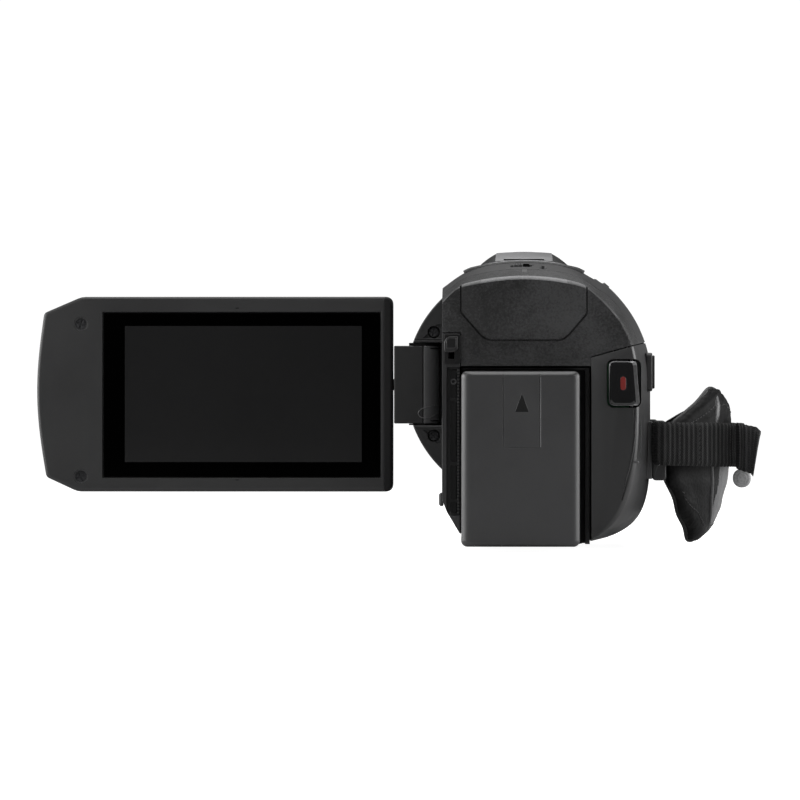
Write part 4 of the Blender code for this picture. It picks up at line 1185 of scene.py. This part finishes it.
def strap_tail():
    """Free end folded back outwards, cut on the slant."""
    path = [(56.6, -43.9), (57.7, -42.9), (58.9, -42.5), (60.4, -42.5), (61.8, -42.8),
            (62.9, -43.2)]
    # painted light: the tail is a brighter copy of the tape, with painted shade near the fold
    tail = tape(path, lambda u: 20.2 + (18.0 - 20.2) * u, lambda u: 32.5 + (31.1 - 32.5) * u,
                "grosgrain_lit_end", .14, "strap_tail_fine")
    for vertex in tail.data.vertices:
        x, z = vertex.co.x / MM, vertex.co.z / MM
        if x > 60.2:      # the lower corner stops short
            vertex.co.x -= (31.0 - z) / 13.0 * 2.1 * MM * (x - 60.2) / 2.8
        x = vertex.co.x / MM
        if x > 61.3 and z > 28.0:      # rounded upper corner
            vertex.co.z -= (.85 * MM * min((x - 61.3) / 1.5, 1.1) ** 2
                            * min((z - 28.0) / 3.2, 1.0))
    paint(tail, "grosgrain_shaded", lambda spot, facing: spot.x < 58.6)
    place(tail, "housing", "strap_tail")


def strap_stitches():
    """Two rows of stitches where the webbing is sewn to itself near the rear eyelet."""
    parts = []
    for k in range(9):
        z = 21.7 + k * 1.25
        for x, y in ((41.1, -51.55), (46.4, -49.7)):
            parts.append(tube([(x, y, z), (x + .1, y - .07, z + .35), (x + .15, y, z + .75)],
                              .13, "thread", 6))
    merge("strap_stitches", parts, "housing")


def eyelet(name, y, boss_x):
    """Moulded loop with rolled edges, and the boss that carries it on the casing."""
    loop = slab(rounded_rect(33.85, 37.6, 17.2, 33.1, 1.1, 6), "XZ", y - 1.5, y + 1.5,
                "moulded_shell", .45, 4, name="strap_eyelet_%s_fine" % name)
    cut(loop, slab_tool(rounded_rect(35.3, 36.1, 21.25, 32.4, .35, 5), "XZ", y - 9, y + 9))
    place(loop, "housing", "strap_eyelet_" + name)
    place(box((boss_x, 33.95, y - 1.4, y + 1.4, 17.6, 32.9), "moulded_shell", .3,
              name="eyelet_boss_" + name), "housing")


# ---- padded part: y, x of the outer face, lower z, upper z
PAD_STATIONS = spline([
    (-46.4, 39.0, 16.0, 32.0), (-44.0, 42.0, 13.0, 34.0), (-41.0, 45.4, 8.0, 36.5),
    (-37.0, 49.2, 4.5, 39.5), (-32.0, 52.4, .7, 42.0), (-26.0, 54.3, .6, 41.2),
    (-10.0, 55.6, 1.0, 39.0), (6.0, 55.0, 1.5, 38.0), (18.0, 52.6, 3.5, 37.0),
    (28.0, 47.6, 8.0, 36.0), (34.5, 42.8, 14.0, 33.5), (38.0, 39.6, 18.0, 32.0)], 5)
PAD_COUNT = len(PAD_STATIONS)
PAD_THICK = 5.0
PAD_CLOTH = dict(quality=5, mass=0.2, tension_stiffness=12, compression_stiffness=12,
                 shear_stiffness=5, bending_stiffness=0.4, use_pressure=True,
                 uniform_pressure_force=4.0)
CLOTH_FRAMES = 20
MAX_SWELL = 1.1 * MM


def pad_lean(z):
    return 0.0139 * (24 - z) ** 2 if z < 24 else 0.0050 * (z - 24) ** 2


def pad_point(i, w, depth):
    """Point at station i, w 0..1 from lower to upper edge, depth 0 outer .. 1 hand side."""
    i = min(max(i, 0), PAD_COUNT - 1)
    y, x, z0, z1 = PAD_STATIONS[i]
    before, after = PAD_STATIONS[max(i - 1, 0)], PAD_STATIONS[min(i + 1, PAD_COUNT - 1)]
    along = Vector((after[1] - before[1], after[0] - before[0])).normalized()
    inward = Vector((-along.y, along.x))
    z = z0 + (z1 - z0) * w
    push = PAD_THICK * depth
    return Vector((x - pad_lean(z) + inward.x * push, y + inward.y * push, z))


def pad_mid(w):
    """Depth of the middle layer; both edges lean to the outer face."""
    upper = min(max((w - .6) / .4, 0.0), 1.0)
    lower = min(max((.4 - w) / .4, 0.0), 1.0)
    return (.5 - .30 * upper * upper * (3 - 2 * upper)
            - .22 * lower * lower * (3 - 2 * lower))


def pad_cage():
    rings = []
    for i in range(PAD_COUNT):
        u = i / (PAD_COUNT - 1)
        end = min(1.0, .45 + min(u, 1 - u) * 7)
        outer, inner = [], []
        for k in range(15):
            w = k / 14
            bulge = (max(0.0, 1 - (2 * k / 14 - 1) ** 4)) ** .5
            half = (.24 + .26 * bulge) * end
            outer.append(pad_point(i, w, pad_mid(w) - half))
            inner.append(pad_point(i, w, pad_mid(w) + half))
        rings.append(outer + inner[::-1])
    return rings


PAD_SEAMS = [[pad_point(i, w, .03) for i in range(6, PAD_COUNT - 8)] for w in (.115, .885)]


def read_vertices(mesh, field="co"):
    values = np.empty(len(mesh.vertices) * 3)
    mesh.vertices.foreach_get(field, values)
    return values.reshape(-1, 3)


def swell(pad):
    """Blow the pad up as cloth, each vertex moving no further than MAX_SWELL."""
    before = read_vertices(pad.data)
    cloth = pad.modifiers.new("swell", "CLOTH")
    for name, value in PAD_CLOTH.items():
        setattr(cloth.settings, name, value)
    cloth.settings.effector_weights.gravity = 0.0
    cloth.collision_settings.use_collision = False
    cloth.point_cache.frame_start = 1
    cloth.point_cache.frame_end = CLOTH_FRAMES
    for step in range(1, CLOTH_FRAMES + 1):
        bpy.context.scene.frame_set(step)
    graph = bpy.context.evaluated_depsgraph_get()
    mesh = bpy.data.meshes.new_from_object(pad.evaluated_get(graph))
    move = read_vertices(mesh) - before
    length = np.linalg.norm(move, axis=1, keepdims=True)
    after = before + move * np.minimum(1.0, MAX_SWELL / np.maximum(length, 1e-9))
    mesh.vertices.foreach_set("co", after.reshape(-1))
    swap_mesh(pad, mesh)
    bpy.context.scene.frame_set(1)


def wrinkle(pad):
    """Sewn channels on the outer face, puckers beside them, creases towards the upper tip."""
    seam_points = np.array([tuple(p) for seam in PAD_SEAMS for p in seam])
    tip = Vector((51.4, -31.0, 41.0))
    places = read_vertices(pad.data) / MM
    normals = read_vertices(pad.data, "normal")
    distance = np.full(len(places), 99.0)
    for start in range(0, len(seam_points), 24):      # in batches, to spare memory
        batch = seam_points[None, start:start + 24, :]
        nearest = np.linalg.norm(places[:, None, :] - batch, axis=2).min(axis=1)
        distance = np.minimum(distance, nearest)
    channel = -0.42 * np.exp(-(distance / .85) ** 2)
    waves = []
    for (x, y, z), away in zip(places, distance):
        wave = noise.noise(Vector((x * .16, y * .16, z * .22))) * .30
        pucker = noise.noise(Vector((x * .5 + z * .9, y * .5, z * .35)))
        wave += pucker * .16 * math.exp(-away / 3.5)
        near_tip = math.exp(-((Vector((x, y, z)) - tip).length / 8.0) ** 2)
        wave += math.sin((x * .8 - z * 1.5 + y * .3) * 1.5) * .20 * near_tip
        waves.append(wave)
    places = places + normals * (channel + np.array(waves))[:, None]
    places[:, 2] = np.maximum(places[:, 2], 0.15)
    pad.data.vertices.foreach_set("co", (places * MM).reshape(-1))
    pad.data.update()


def strap_pad():
    pad = loft(pad_cage(), "soft_leather", 60.0, "strap_pad_fine")
    bpy.context.view_layer.update()
    remesh = pad.modifiers.new("even", "REMESH")
    remesh.mode = "VOXEL"
    remesh.voxel_size = 1.15 * MM
    remesh.use_smooth_shade = True
    bake(pad)
    swell(pad)
    subsurf = pad.modifiers.new("fine", "SUBSURF")
    subsurf.levels = subsurf.render_levels = 1
    bake(pad)
    wrinkle(pad)
    pad.data.shade_smooth()
    paint(pad, "soft_leather_shaded", lambda spot, facing: spot.z > 30)
    # paler second layer of the outer face
    paint(pad, "outer_leather", lambda spot, facing: facing.x > .15 and 3.2 < spot.z < 22.0
          and spot.x > 49.7 + (spot.z - 3) * .16 + .25 * math.sin(spot.z * .5))
    place(pad, "housing", "strap_pad")
    return pad


def smoothed(points, passes, closed):
    """Average each point with its neighbours; the ends of an open line stay."""
    count = len(points)
    for _ in range(passes):
        middle = [(points[k - 1] + points[k] * 2 + points[(k + 1) % count]) / 4
                  for k in range(count)]
        points = middle if closed else [points[0]] + middle[1:-1] + [points[-1]]
    return points


def on_pad(pad, point, lift):
    _, location, normal, _ = pad.closest_point_on_mesh(Vector(point) * MM)
    return Vector(location) / MM + Vector(normal) * lift


def strap_piping(pad):
    """Rolled piping round the rim of the pad."""
    depth, overhang = .04, .01
    top = [pad_point(i, 1 + overhang, pad_mid(1) + depth) for i in range(PAD_COUNT)]
    bottom = [pad_point(i, -overhang, pad_mid(0) + depth) for i in range(PAD_COUNT)]
    front = [pad_point(PAD_COUNT - 1, w, .5 + depth) for w in (.8, .6, .4, .2)]
    rear = [pad_point(0, w, .5 + depth) for w in (.2, .4, .6, .8)]
    rim = smoothed(top + front + bottom[::-1] + rear, 2, True)
    loop = smoothed([on_pad(pad, p, -.12) for p in rim], 3, True)
    for point in loop:
        point.z = max(point.z, .72)
    place(tube(loop, .62, "piping_cord", 12, closed=True, name="strap_piping"), "housing")


def pad_stitches(pad):
    """Stitches along both channels, each resting on the leather."""
    parts = []
    for seam in PAD_SEAMS:
        for a, b in zip(seam, seam[1:]):
            points = [on_pad(pad, a.lerp(b, t), lift)
                      for t, lift in ((.22, -.05), (.5, .10), (.78, -.05))]
            parts.append(tube(points, .14, "thread", 6))
    merge("pad_stitches", parts, "housing")


def station_for(z, target_x):
    """Fractional rear station whose outer face comes closest to an x at height z."""
    best, station = 1e9, 0.0
    for i in range(26):
        for part in (0.0, .25, .5, .75):
            x = PAD_STATIONS[i].lerp(PAD_STATIONS[i + 1], part)[1]
            error = abs(x - pad_lean(z) - target_x)
            if error < best:
                best, station = error, i + part
    return station


def pad_at(station, z, depth):
    i = int(station)
    a, b = PAD_STATIONS[i], PAD_STATIONS[min(i + 1, PAD_COUNT - 1)]
    w_a, w_b = (z - a[2]) / (a[3] - a[2]), (z - b[2]) / (b[3] - b[2])
    return pad_point(i, w_a, depth).lerp(pad_point(i + 1, w_b, depth), station - i)


def pad_roll(pad, heights, x_at, radius, lift):
    """Cord laid down the outer face."""
    points = []
    for z in heights:
        p = pad_at(station_for(z, x_at(z)), z, -.1)
        points.append(on_pad(pad, (p.x, p.y, z), lift))
    return tube(smoothed(points, 3, False), radius, "rolled_leather", 12,
                taper=lambda u: .55 + .45 * math.sin(math.pi * u))


def strap_rolled_edge(pad):
    """Rolled edge where the paler second layer starts, and its thick upper end, both pale grey as
    painted highlights.
    """
    low = pad_roll(pad, list(np.linspace(22.0, 3.4, 30)),
                   lambda z: 49.9 - .0042 * (20 - z) ** 2, .62, -.12)
    high = pad_roll(pad, list(np.linspace(40.4, 31.5, 18)),
                    lambda z: 51.0 - (41 - z) * .05, 1.6, -.95)
    merge("strap_rolled_edge", [low, high], "housing")


def strap_tongue():
    """Pull tongue under the fold: rounded, with a raised middle."""
    parts = [slab(rounded_rect(55.6, 60.4, 15.2, 20.2, 2.3, 12), "XZ", -40.7, -38.9,
                  "pull_tongue", .75, 6, 40.0),
             slab(rounded_rect(56.7, 59.3, 16.3, 19.0, 1.2, 8), "XZ", -40.85, -40.5,
                  "pull_tongue", .15, 4, 40.0)]
    merge("strap_tongue_fine", parts, "housing", "strap_tongue")


# ==================================================== drum, hood, lens front
AXIS_AT = (0, 0, AXIS_Z)


def front_drum():
    profile = [(31.2, 37.0), (32.9, 37.0), (33.15, 37.15), (DRUM_R, 37.5), (DRUM_R, 44.0),
               (33.0, 44.15), (33.0, 44.5), (DRUM_R, 44.65), (DRUM_R, 76.9), (33.0, 77.6),
               (32.5, 78.0), (29.2, 78.0), (29.2, 86.0), (27.4, 86.0), (27.4, 76.0),
               (31.2, 76.0)]
    drum = lathe(profile, "moulded_shell", at=AXIS_AT, seg=180, sharp=28.0,
                 name="front_housing_fine")
    cut(drum, box_tool(-40, -21.9, 30, 47.2, 0, 90))
    reshade(drum, 28)
    place(drum, "housing", "front_housing")


# y, half width and z of the base, half width and z of the top, crown of the top
HOOD_SECTIONS = [
    (12.0, 13.0, 74.5, 8.6, 76.2, .2), (14.0, 13.2, 74.6, 8.6, 76.95, .25),
    (17.0, 13.2, 74.7, 8.4, 78.1, .3), (20.5, 13.2, 74.8, 8.1, 79.1, .4),
    (24.0, 13.2, 74.85, 7.9, 79.5, .5), (34.0, 13.2, 74.9, 7.8, 79.65, .6),
    (54.0, 12.7, 74.8, 7.5, 79.3, .9), (70.0, 12.1, 74.6, 7.1, 78.9, .9),
    (73.0, 12.0, 74.6, 7.0, 78.5, .8), (74.0, 11.8, 74.5, 6.8, 77.9, .7)]


def hood_ring(y, base_half, base_z, top_half, top_z, crown):
    """Trapezoid with a gently crowned top and bulging flanks."""
    base, shoulder = Vector((-base_half, base_z)), Vector((-top_half, top_z - crown))
    flank = [base.lerp(shoulder, k / 8) + Vector((0, .35 * math.sin(math.pi * k / 8)))
             for k in range(1, 8)]
    points = [(-base_half, 70.0), (-base_half, base_z)]
    points += [(p.x, p.y) for p in flank]
    for k in range(17):
        t = -1 + 2 * k / 16
        points.append((top_half * t, top_z - crown * abs(t) ** 2.6))
    points += [(-p.x, p.y) for p in reversed(flank)]
    points += [(base_half, base_z), (base_half, 70.0)]
    return [(x, y, z) for x, z in points]


def cap_plate(stations, drop, lift, crown):
    """Satin plate let into the hood; stations holds (y, half width, z)."""
    rings = []
    for y, half, top in stations:
        ring = [(-half, y, top - drop)]
        ring += [(half * t, y, top + lift - crown * abs(t) ** 2.6)
                 for t in [-1 + k / 8 for k in range(17)]]
        rings.append(ring + [(half, y, top - drop)])
    return loft(rings, "satin_cap")


def hood_slit():
    """Slit across the rear end of the hood."""
    return box_tool(-5.6, 5.6, 10, 16.6, 77.02, 77.42)


def hood_cap():
    hood = loft([hood_ring(*section) for section in HOOD_SECTIONS], "hood_shell")
    cut(hood, drum_tool(0.0))
    # microphone slits on both sloping sides
    for k in range(5):
        y = 46.0 + k * 3.0
        cut(hood, box_tool(-12.0, -9.2, y, y + .9, 75.9, 80),
            box_tool(9.2, 12.0, y, y + .9, 75.9, 80))
    cut(hood, hood_slit())
    flat = cap_plate(((24.4, 7.5, 79.6), (34.0, 7.4, 79.64), (54.0, 6.9, 79.34),
                      (68.0, 6.6, 78.98)), drop=1.1 + .9 * .9, lift=.06, crown=.9)
    slope = cap_plate(((14.2, 7.95, 77.05), (17.0, 7.85, 78.15), (20.5, 7.75, 79.12),
                       (24.0, 7.6, 79.52)), drop=1.3, lift=.05, crown=.28)
    cut(slope, hood_slit())
    merge("hood_cap_fine", [hood, flat, slope], "housing", "hood_cap")


def deck_plate():
    """Raised plate along the top, with stepped shoulders."""
    rings = []
    under_r = DRUM_R - .7
    for y, lift in ((-49.0, -.55), (-48.6, .25), (-47.6, .62), (-44.0, .75), (9.5, .75),
                    (10.8, .55), (11.4, .2), (11.6, -.5)):
        upper, under = [], []
        for degrees in np.linspace(118.5, 61.5, 45):
            cos, sin = math.cos(math.radians(degrees)), math.sin(math.radians(degrees))
            x = (DRUM_R + lift) * cos
            upper.append((x, y, min(AXIS_Z + (DRUM_R + lift) * sin,
                                    deck_z(x) + min(.12, lift - .5))))
            x = under_r * cos
            under.append((x, y, min(AXIS_Z + under_r * sin, deck_z(x) - .9)))
        rings.append(upper + under[::-1])
    deck = loft(rings, "moulded_shell", name="deck_plate")
    cut(deck, *key_bores(6.4, 4.4))
    place(deck, "housing")


def soften(ob, width, seg):
    """Round every hard edge of a mesh and shade it smooth."""
    modifier = ob.modifiers.new("round", "BEVEL")
    modifier.width = width * MM
    modifier.segments = seg
    modifier.limit_method = "ANGLE"
    modifier.angle_limit = math.radians(32.0)
    modifier.harden_normals = False
    modifier.miter_outer = "MITER_ARC"
    bake(ob)
    ob.data.shade_smooth()
    reshade(ob, 34.0)


def deck_marks():
    """Small slanted block and two rounded marks behind the deck plate."""
    block = loft([[(-.55, y, z0), (-.55, y, z1), (.75, y, z1), (.75, y, z0)]
                  for y, z0, z1 in ((-61.6, 71.5, 72.12), (-58.3, 72.3, 72.95))],
                 "rolled_leather", 32.0)
    soften(block, .10, 2)
    parts = [block,
             slab(rounded_rect(-.35, 1.55, 73.3, 74.55, .5, 6), "XZ", -51.85, -51.2,
                  "deep_black", .1, 2),
             slab(rounded_rect(1.6, 2.7, 73.5, 74.35, .4, 6), "XZ", -51.95, -51.2,
                  "rolled_rim_side", .1, 2)]
    merge("deck_marks", parts, "housing")


def deck_arc():
    """Painted highlight: a bright tube across the rear end of the deck plate."""
    points = [(x, -46.9, deck_z(x) + .10) for x in np.linspace(-11.2, 11.2, 41).tolist()]
    place(tube(points, .22, "bright_rim", 8, name="deck_arc",
               taper=lambda u: max(.2, math.sin(math.pi * u) ** .4)), "housing")


def focus_ring():
    """Knurled ring; profile holds (y, radius, depth of the teeth)."""
    count, teeth = 240, 60
    profile = [(78.4, 32.4, 0), (78.6, 32.75, 0), (79.0, 32.9, 0), (79.25, 32.9, 0),
               (79.5, 32.95, .38), (84.6, 32.95, .38), (84.85, 32.9, 0), (85.2, 32.9, 0),
               (85.6, 32.7, 0), (85.8, 32.3, 0), (85.8, 29.7, 0), (85.6, 29.6, 0),
               (78.6, 29.6, 0), (78.4, 29.7, 0)]
    rings = []
    for y, outer, depth in profile:
        ring = []
        for k in range(count):
            radius = outer - depth * (.5 + .5 * math.cos(2 * math.pi * k * teeth / count))
            angle = 2 * math.pi * k / count
            ring.append((radius * math.cos(angle), y, AXIS_Z + radius * math.sin(angle)))
        rings.append(ring)
    bm = loft_bm(rings + [rings[0]], cap=False)
    bmesh.ops.remove_doubles(bm, verts=bm.verts, dist=1e-7)
    place(add_mesh(bm, "ring_rubber", 40.0, "lens_ring_fine"), "ring", "lens_ring")


def lens_bezel():
    """Bezel with a flared, rounded rectangular mouth."""
    profile = [(8.0, 86.3), (31.9, 86.3), (32.2, 86.6), (32.2, 90.2), (31.9, 90.8),
               (31.2, 91.3), (30.0, 91.85), (29.4, 92.0), (8.0, 92.0)]
    bezel = lathe(profile, "panel_plastic", at=AXIS_AT, seg=180, sharp=26.0,
                  name="lens_bezel_fine")
    mouth = (-18, 18, AXIS_Z - 11, AXIS_Z + 11)
    flare = ((80, 0), (87.0, 0), (88.2, .4), (89.4, 1.3), (90.6, 2.9), (91.6, 4.8), (92.6, 6.9))
    cut(bezel, as_tool(loft_bm([[(x, y, z) for x, z in rounded_rect(*grown(mouth, wider),
                                                                    7 + wider, 12)]
                                for y, wider in flare])))
    place(bezel, "housing", "lens_bezel")


def lens_shutters():
    radius = 27.0
    angle = math.degrees(math.asin(11.4 / radius))
    for name, side, start, body in (("upper", 1, 0, "shutter_top"),
                                    ("lower", -1, 180, "shutter_bottom")):
        outline = arc(0, AXIS_Z, radius, start + angle, start + 180 - angle, 40)
        blade = slab(outline, "XZ", 84.2, 85.2, "panel_plastic", .15, 3,
                     name="lens_shutter_%s_fine" % name)
        line_z = AXIS_Z + side * 13.2
        cut(blade, box_tool(-14, 14, 85.05, 86, line_z - .15, line_z + .15))
        place(blade, body, "lens_shutter_" + name)


def front_lens():
    """Domed element and the retaining ring in front of it."""
    dome = [(0, -3.6), (6, -3.3), (11, -2.4), (14.6, -.9), (15.5, 0), (14.6, .9), (11, 2.4),
            (6, 3.5), (0, 3.9)]
    merge("front_lens_fine", [lathe(dome, "lens_glass", at=(0, 71, AXIS_Z), seg=96, sharp=60.0)],
          "housing", "front_lens")
    retainer = [(13.2, 74.6), (15.6, 74.6), (15.6, 75.5), (14.6, 75.5), (13.6, 75.05)]
    place(lathe(retainer, "black_screw", at=AXIS_AT, seg=96, name="lens_retainer"), "housing")


def front_chin():
    """Rounded chin below the drum, from the casing's section to a small front one, (x, z)."""
    rear = [(-15.0, .0), (-20.4, 9.0), (LEFT_X, 12.0), (LEFT_X, 16.5), (0, 22.0), (GRIP_X, 25.0),
            (33.4, 21.0), (32.8, 14.5), (31.2, 9.2), (28.3, 5.4), (23.5, 2.6), (13.5, 0.0)]
    front = [(-10.0, 7.0), (-13.0, 10.0), (-15.0, 12.5), (-14.6, 14.0), (0, 20.0), (20.0, 21.0),
             (20.5, 18.0), (20.0, 15.0), (18.5, 12.0), (16.5, 9.5), (14.0, 8.0), (8.0, 7.0)]
    rings = []
    for k in range(13):
        t = k / 12
        blend = t ** 1.6
        rings.append([(a[0] + (b[0] - a[0]) * blend, 37.0 + 25.0 * t,
                       a[1] + (b[1] - a[1]) * blend) for a, b in zip(rear, front)])
    chin = loft(rings, "moulded_shell", 40.0, "front_chin_fine")
    cut(chin, drum_tool(20.0))
    reshade(chin, 34)
    place(chin, "housing", "front_chin")


# ==================================================== painted shade behind the gaps
def seam_shadow_fill(name, inset, region):
    """Black sheet that paints the shade seen through a seam."""
    liner = add_mesh(body_solid(inset, BODY_Y - .2), "deep_black", 30.0, name)
    cut(liner, core_tool(1.75))
    keep_inside(liner, region)
    place(liner, "housing")
    return liner


def seam_shadow_fills():
    slanted = [(17.4, 48.6), (40, 54.8), (40, 57.0), (17.4, 50.9)]
    seam_shadow_fill("seam_shadow_fill", .35, slab_tool(slanted, "XZ", -64, 34))
    seam_shadow_fill("seam_shadow_fill_left", .75, box_tool(-30, -15, -57.0, 34, 60.8, 63.0))
    rear = seam_shadow_fill("seam_shadow_fill_rear", .75, box_tool(-30, 40, -58.8, -56.6, 56.4, 90))
    cut(rear, box_tool(-4, 7, -62, -50, 60, 90))


def arm_collars():
    """Black collars between the arm and the lobes, painted shade in the gap there."""
    for i, (low, high) in enumerate(((53.75, 54.55), (31.45, 31.85))):
        bm = cylinder_bm((HINGE_X, HINGE_Y, (low + high) / 2), UP, 4.3, high - low, 48, .08)
        place(add_mesh(bm, "deep_black", 35.0, "arm_collar_%d" % i), "lcd_arm")


def inlet_frame():
    """Frame under the power-inlet cover."""
    ob = slab(rounded_rect(-52.6, -37.4, 40.8, 51.0, 1.2), "YZ", 32.2, 33.92, "moulded_shell",
              .35, 3, name="inlet_frame")
    cut(ob, box_tool(30, 36, -49, -41, 43.5, 48.3))
    place(ob, "housing")


def bay_shadow_fill():
    """Black plate behind the upper corners of the battery opening: painted shade."""
    place(box((-17.4, 17.4, -46.9, -46.3, 45.6, 49.4), "deep_black", .2, name="bay_shadow_fill"),
          "housing")


# ============================================================ build, in order
rear_cover()
top_cover()
grip_cover()
grip_ridges()
left_cover()
side_strip()
base_cover()
battery()
battery_latch()
record_button()
charge_lamp()
mode_switch()
side_nub()
zoom_lever()
photo_button()
power_button()
side_door("terminal_door_fine", "terminal_cover", "terminal_door", TERMINAL_DOOR)
side_door("card_door_fine", "card_cover", "card_door", CARD_DOOR)
inlet_door()
lcd_frame()
lcd_back()
lcd_glass()
lcd_screws()
lcd_marks()
hinge_arm()
hinge_lobe("upper", side=1, flat_z=54.6, screw_z=57.5, bore_z=58.2, slot_angle=15)
hinge_lobe("lower", side=-1, flat_z=31.4, screw_z=28.5, bore_z=27.8, slot_angle=50)
strap_webbing()
strap_tail()
strap_stitches()
eyelet("rear", y=-49.0, boss_x=31.6)
eyelet("front", y=41.5, boss_x=33.2)
PAD = strap_pad()
strap_piping(PAD)
pad_stitches(PAD)
strap_rolled_edge(PAD)
strap_tongue()
front_drum()
hood_cap()
deck_plate()
deck_marks()
deck_arc()
focus_ring()
lens_bezel()
lens_shutters()
front_lens()
front_chin()
seam_shadow_fills()
arm_collars()
inlet_frame()
bay_shadow_fill()

# ========================================================= looks of CAD nodes
CAD_LOOKS = {
    "bright_steel": "tripod_socket zoom_motor microphone",
    "black_screw": "hinge_bracket hinge_pin tilt_shaft hinge_screw_upper hinge_screw_lower "
                   "lcd_screw_upper lcd_screw_lower",
    "gold_contact": "battery_contacts",
    "solder_mask": "main_board sensor_board rec_switch",
    "lens_glass": "front_lens zoom_lens image_sensor",
    "ring_rubber": "lens_ring memory_card",
    "moulded_shell": "top_cover left_cover base_cover hinge_cover_upper hinge_cover_lower "
                     "front_housing lens_bezel front_chin battery_bay chassis terminal_cover "
                     "card_cover dc_cover dc_socket av_socket card_slot lens_barrel zoom_holder "
                     "lens_shutter_upper lens_shutter_lower hinge_arm zoom_lever photo_button "
                     "power_button mode_switch battery_latch",
    "textured_shell": "rear_cover",
    "smooth_grip": "grip_cover",
    "battery_case": "battery_pack",
    "panel_plastic": "lcd_frame lcd_back_cover",
    "cover_glass": "lcd_glass",
    "display_area": "lcd_display",
    "satin_cap": "hood_cap",
    "piano_black": "rec_button",
    "grosgrain": "strap_webbing strap_tail",
    "soft_leather": "strap_pad strap_tongue",
}
for look, names in CAD_LOOKS.items():
    for name in names.split():
        if name not in frame["nodes"]:
            continue
        cad_piece = frame["nodes"][name]
        if not cad_piece.material_slots:
            cad_piece.data.materials.append(MATERIALS[look])
        for slot in cad_piece.material_slots:
            slot.material = MATERIALS[look]


# ==================================================== floor, light, camera
def floor_material():
    """Pale sweep: a touch of soft shadow, to the camera nearly as bright as the backdrop."""
    tree, surface = new_material("studio_floor")
    patches = noise_tex(tree, object_coords(tree), Scale=6.0, Detail=3.0)
    camera_ray = node(tree, "LightPath", {}).outputs["Is Camera Ray"]
    glow = node(tree, "Math", {0: camera_ray, 1: 0.97}, operation="MULTIPLY").outputs[0]
    feed(surface, {"Base Color": ramp(tree, patches, dark=(0.50,), light=(0.54,)),
                   "Roughness": 0.9, "Specular IOR Level": 0.0,
                   "Emission Color": (1, 1, 1, 1), "Emission Strength": glow})


def studio_floor():
    floor_material()
    bm = bmesh.new()
    bmesh.ops.create_grid(bm, x_segments=2, y_segments=2, size=6.0)
    bmesh.ops.translate(bm, vec=(0, 0, -0.0012), verts=bm.verts)
    add_mesh(bm, "studio_floor", name="studio_floor")


def studio_world():
    """White backdrop for the camera, dim fill for everything else."""
    world = bpy.data.worlds.new("studio")
    bpy.context.scene.world = world
    world.use_nodes = True
    tree = world.node_tree
    camera_ray = node(tree, "LightPath", {}).outputs["Is Camera Ray"]
    feed(tree.nodes["Background"], {"Strength": remap(tree, camera_ray, to=(0.16, 1.05)),
                                    "Color": (1, 1, 1, 1)})


def softbox(name, at, look, size, power):
    light = bpy.data.lights.new(name, "AREA")
    light.shape = "RECTANGLE"
    light.size, light.size_y = size
    light.energy = power
    ob = bpy.data.objects.new(name, light)
    bpy.context.scene.collection.objects.link(ob)
    ob.location = at
    ob.rotation_euler = (Vector(look) - Vector(at)).to_track_quat("-Z", "Y").to_euler()


def view_camera():
    """Long lens behind the camcorder, looking along +Y."""
    data = bpy.data.cameras.new("view")
    camera = bpy.data.objects.new("view", data)
    bpy.context.scene.collection.objects.link(camera)
    data.lens = 257.1
    data.sensor_width = 36.0
    data.clip_start, data.clip_end = 0.05, 20.0
    camera.location = (0.0, -1.5627, 0.0385)
    camera.rotation_euler = (math.pi / 2, 0.0, math.radians(1.243))
    bpy.context.scene.camera = camera
    bpy.context.scene.view_settings.view_transform = "Standard"


studio_floor()
studio_world()
softbox("key_top", at=(0.0, 0.05, 0.75), look=(0.0, 0.05, 0.05), size=(0.7, 1.1), power=8.0)
softbox("side_left", at=(-0.75, -0.08, 0.20), look=(0.0, -0.08, 0.04), size=(0.90, 0.6),
        power=11.0)
softbox("side_right", at=(0.75, -0.08, 0.20), look=(0.0, -0.08, 0.04), size=(0.90, 0.6),
        power=9.0)
view_camera()


# ============================================================ final shading
WIDE_AREA, WIDE_SHAPE = 12e-6, .012   # least area (m2) and area / perimeter^2 of a broad face


def keep_flat(ob):
    """Broad flat faces end in a sharp line, so that shading does not creep across them."""
    mesh = ob.data
    wide = set()
    faces_at = {}
    for face in mesh.polygons:
        for key in face.edge_keys:
            faces_at.setdefault(key, []).append(face.index)
        if face.area > WIDE_AREA:
            perimeter = sum((mesh.vertices[a].co - mesh.vertices[b].co).length
                            for a, b in face.edge_keys)
            if face.area / perimeter ** 2 > WIDE_SHAPE:
                wide.add(face.index)
    for edge in mesh.edges:
        pair = faces_at.get(tuple(sorted(edge.vertices)), [])
        if len(pair) == 2 and (pair[0] in wide or pair[1] in wide):
            first, second = (mesh.polygons[i].normal for i in pair)
            if first.angle(second, 0.0) > math.radians(1.5):
                edge.use_edge_sharp = True


SOFT_PIECES = {"strap_webbing_fine", "strap_tail_fine", "strap_pad_fine", "strap_piping",
               "pad_stitches", "strap_stitches", "strap_rolled_edge", "studio_floor"}
for piece in COLL.objects:
    if piece.name not in SOFT_PIECES:
        keep_flat(piece)
        weighted = piece.modifiers.new("even_normals", "WEIGHTED_NORMAL")
        weighted.keep_sharp = True
        weighted.weight = 80

bpy.data.collections.remove(TOOLS)
